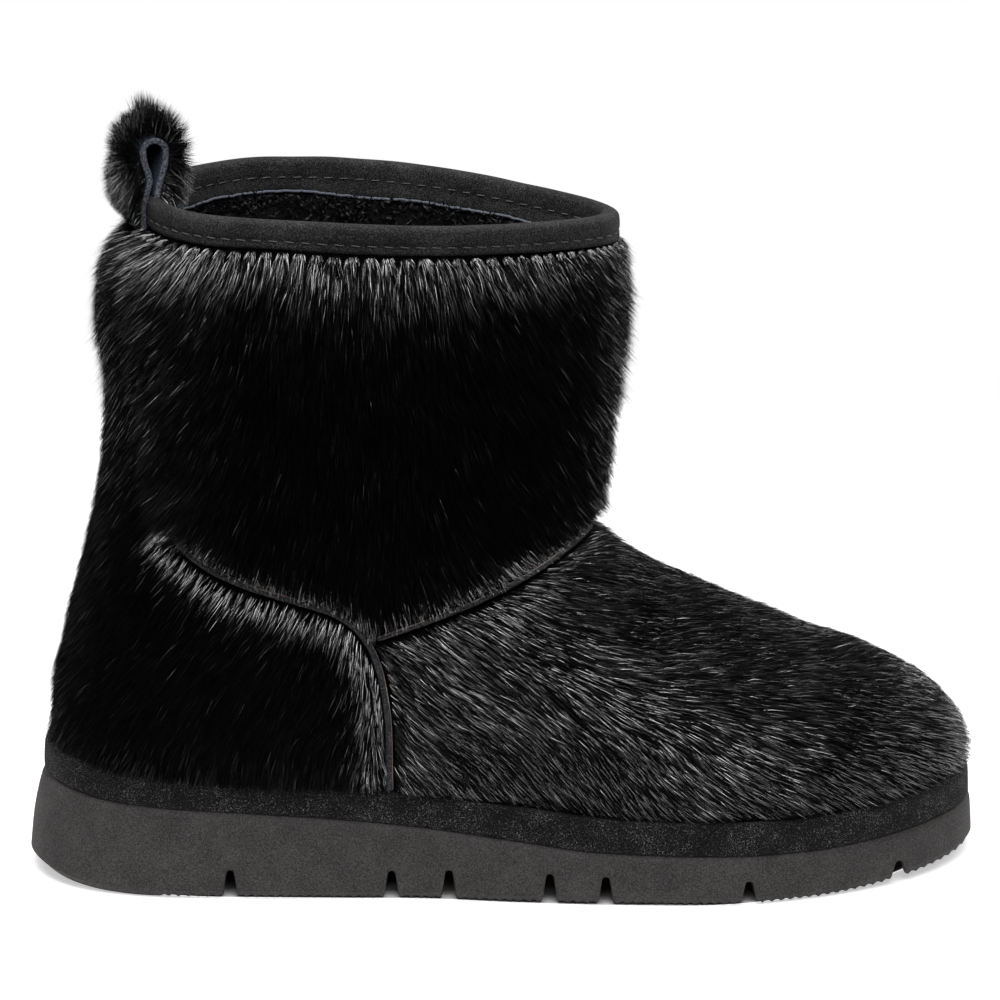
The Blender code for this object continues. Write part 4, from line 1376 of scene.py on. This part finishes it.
def strap_piece(name, section, material):
    """A piece along the whole strap, from places across it and out from its inner face."""
    place, way = loop_path()
    across, out = np.array(section).T
    rings = loop_points(place[:, None], way[:, None], across[None], out[None])
    return ring_piece(name, rings, material)


def build_strap(finish):
    """The strap's leather, with its cut edges as pieces of their own."""
    edge, middle = STRAP_WIDTH / 2, STRAP_THICK / 2
    section = [(edge * (i / 4 - 1), 0.0) for i in range(9)]
    section += [(across, STRAP_THICK) for across, _ in reversed(section)]
    strap = strap_piece("pull_strap", section, finish["strap_leather"])
    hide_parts("pull_loop")
    for name, sign in (("lateral", -1), ("medial", 1)):
        lip = [
            (sign * (edge + 0.3 * math.cos(angle)), middle + (middle + 0.08) * math.sin(angle))
            for angle in around(10)
        ]
        strap_piece(f"strap_edge_{name}", lip, finish["cut_edge"])


def inner_loop_hairs(rng, count=INNER_LOOP_HAIRS):
    """Hairs of the far edge that lie across the loop's opening."""
    place, way = loop_path()
    at = rng.integers(0, len(place), count)
    across = rng.uniform(0.6, 1.0, count) * STRAP_WIDTH / 2
    root = loop_points(place[at], way[at], across, -0.1)
    inward = unit(loop_points(place[at], way[at], across, -0.8) - root)
    heading = along_surface(np.tile((0.0, 1.0, 0.0), (count, 1)), inward)
    length, width = rng.uniform(3.5, 6.0, count), rng.uniform(0.2, 0.4, count)
    rise, lie = rng.normal(70, 10, count), rng.normal(60, 12, count)
    return hairs(root, heading, inward, length, rise, lie, width, rng.normal(0, 40, count))


def loop_headings(out, spill, top, rng):
    """Hair hangs down on the strap's faces and stands up at its top."""
    down = np.stack((0 * top, 0.25 * spill, -np.ones(len(top))), -1)
    up = np.stack((0 * top, 0.25 * spill, np.ones(len(top))), -1)
    comb = down * (1 - top)[:, None] + up * (top * 0.7)[:, None]
    heading = comb - out * (comb * out).sum(1)[:, None]
    return along_surface(unit(heading + rng.normal(0, 0.15, (len(top), 3))), out)


def outer_loop_hairs(rng, count=LOOP_HAIRS):
    """Long hair on the outside of the strap, standing out all round."""
    place, way = loop_path()
    steps = np.concatenate(([0], np.cumsum(np.linalg.norm(np.diff(place, axis=0), axis=1))))
    at = rng.random(count) * steps[-1]
    places = np.stack([np.interp(at, steps, place[:, axis]) for axis in (0, 1)], -1)
    ways = unit(np.stack([np.interp(at, steps, way[:, axis]) for axis in (0, 1)], -1))
    across = rng.uniform(-1, 1, count)
    across = STRAP_WIDTH / 2 * np.sign(across) * np.abs(across) ** 0.8
    root = loop_points(places, ways, across, STRAP_THICK - 0.3)
    normal = unit(loop_points(places, ways, across, STRAP_THICK + 0.7) - root)
    spill = across / (STRAP_WIDTH / 2)
    out = unit(normal + np.stack((0 * spill, spill * np.abs(spill) * 0.9, 0 * spill), -1))
    top = np.clip((places[:, 1] - LOOP_TOP + LOOP_TOP_DEPTH) / LOOP_TOP_DEPTH, 0, 1)
    heading = loop_headings(out, spill, top, rng)
    behind = LOOP_BACK + LOOP_LOW * LOW_Z(places[:, 1]) - 0.15 * spill
    length = rng.uniform(*LOOP_LENGTHS, count) * np.where(ways[:, 0] > 0, LONGER_IN_FRONT, behind)
    length = np.minimum(length, 5 + (places[:, 1] - LOOP_FOOT) * 0.8)
    rise = rng.normal(66, 12, count)
    lie = rng.normal(50, 13, count) + 8 * top
    twist, width = rng.normal(0, 55, count), rng.uniform(*LOOP_WIDTHS, count)
    return hairs(root, heading, out, length, rise, lie, width, twist, 0.45)


def build_loop_fur(finish):
    rng = np.random.default_rng(SEED + 1)
    points = np.concatenate((outer_loop_hairs(rng), inner_loop_hairs(rng)))
    count, root = len(points), points[:, 0]
    lock = numbered(cell_of(root + rng.normal(0, LOOP_FUZZ, root.shape), LOOP_LOCK))
    points = gathered(points, lock, np.full(count, LOOP_PULL))
    tint = 0.35 * rng.random(lock.max() + 1)[lock] + 0.65 * rng.random(count)
    hair_piece("pull_loop_fur", points, tint, finish["loop_hair"], rng)


# ---------------------------------------------------------------- stage, lights and camera


CAMERA_AIM = Vector((-1.0, 3.3, -5.3)) * MM  # from the middle of the boot's box
CAMERA_DISTANCE, CAMERA_AZIMUTH, CAMERA_HEIGHT = 1.459, -4, 15  # metres and degrees
CAMERA_LENS, CAMERA_SENSOR = 180, 36
LIGHTS_CENTRE, LIGHTS_DISTANCE = Vector((0, 0, 0.1)), 1.5
LIGHTS = (  # azimuth and height in degrees, size in metres and power
    ("front_top", 0, 64, 1.1, 18),
    ("front", 5, 40, 0.9, 4),
    ("left_top", 270, 68, 0.9, 11),
    ("right_back", 135, 40, 0.9, 7),
    ("right_low", 135, 15, 0.8, 6),
    ("left_low", 225, 15, 0.8, 2.5),
)
ROOM_GREY = 0.012
FLOOR_X, FLOOR_Y, FLOOR_GREY = (-0.6, 0.6), (-0.14, 0.55), 0.85


def direction(azimuth, height):
    """A unit vector: degrees from the outer side towards the toe, and degrees up."""
    azimuth, height = math.radians(azimuth), math.radians(height)
    level = math.cos(height)
    return Vector((math.sin(azimuth) * level, -math.cos(azimuth) * level, math.sin(height)))


def aimed(name, data, location, target):
    piece = bpy.data.objects.new(name, data)
    piece.location = location
    piece.rotation_euler = (Vector(target) - Vector(location)).to_track_quat("-Z", "Y").to_euler()
    bpy.context.scene.collection.objects.link(piece)
    return piece


def add_camera():
    low, high = CAD_BOX
    target = (low + high) / 2 + CAMERA_AIM
    data = bpy.data.cameras.new("camera")
    data.lens, data.sensor_width, data.clip_end = CAMERA_LENS, CAMERA_SENSOR, 100
    place = target + direction(CAMERA_AZIMUTH, CAMERA_HEIGHT) * CAMERA_DISTANCE
    bpy.context.scene.camera = aimed("camera", data, place, target)


def add_floor(name, corners, height, glow):
    mesh = bpy.data.meshes.new(name)
    mesh.from_pydata([(x, y, 0) for x, y in corners], [], [tuple(range(len(corners)))])
    shader = Shader(name, Roughness=1.0)
    shader.set(shader.surface, {"Specular IOR Level": 0.0, "Emission Color": (1, 1, 1, 1)})
    shader.set(shader.surface, {"Emission Strength": glow})
    mesh.materials.append(shader.finish((FLOOR_GREY, FLOOR_GREY, FLOOR_GREY, 1)))
    floor = bpy.data.objects.new(name, mesh)
    floor.location.z = height
    bpy.context.scene.collection.objects.link(floor)


def build_stage():
    """A white floor that glows a little, so that only the place under the sole is dark."""
    (left, right), (near, far) = FLOOR_X, FLOOR_Y
    corners = [(left, near), (right, near), (right, far), (left, far)]
    add_floor("floor", corners, -0.0003, 0.5)
    back, front = OUTSOLE_RINGS.at("back", 0), OUTSOLE_RINGS.at("front", 0)
    under = sole_ring(around(90), back + 10, front - 12, OUTSOLE_RINGS.at("inset", 0))
    places = to_scene(np.column_stack((*under, np.zeros(len(under[0])))))
    add_floor("shade", places[:, :2].tolist(), -0.0001, 0)


def light_world():
    """A dim grey room that looks white to the camera."""
    world = bpy.data.worlds.new("world")
    world.use_nodes = True
    nodes, links = world.node_tree.nodes, world.node_tree.links
    room = nodes["Background"]
    room.inputs["Color"].default_value = (ROOM_GREY, ROOM_GREY, ROOM_GREY, 1)
    seen = nodes.new("ShaderNodeBackground")
    seen.inputs["Color"].default_value = (1, 1, 1, 1)
    path, mix = nodes.new("ShaderNodeLightPath"), nodes.new("ShaderNodeMixShader")
    links.new(path.outputs["Is Camera Ray"], mix.inputs[0])
    links.new(room.outputs[0], mix.inputs[1])
    links.new(seen.outputs[0], mix.inputs[2])
    links.new(mix.outputs[0], nodes["World Output"].inputs["Surface"])
    bpy.context.scene.world = world


def light_scene():
    light_world()
    for name, azimuth, height, size, power in LIGHTS:
        data = bpy.data.lights.new(name, "AREA")
        data.shape, data.size, data.size_y, data.energy = "RECTANGLE", size, size, power
        place = LIGHTS_CENTRE + direction(azimuth, height) * LIGHTS_DISTANCE
        aimed(name, data, place, LIGHTS_CENTRE)
    bpy.context.scene.view_settings.view_transform = "Standard"


def main():
    add_camera()
    light_scene()
    build_stage()
    finish = all_materials()
    skin = Skin()
    seams = Seams(skin)
    build_fur(skin, seams, finish)
    build_loop_fur(finish)
    build_hide(skin, seams, finish)
    build_lining(skin, finish)
    build_curls(skin, finish)
    build_footbed(skin, finish)
    build_outsole(finish)
    build_strip(finish)
    build_piping(skin, finish)
    build_binding(finish)
    build_stitches(finish)
    build_strap(finish)


main()
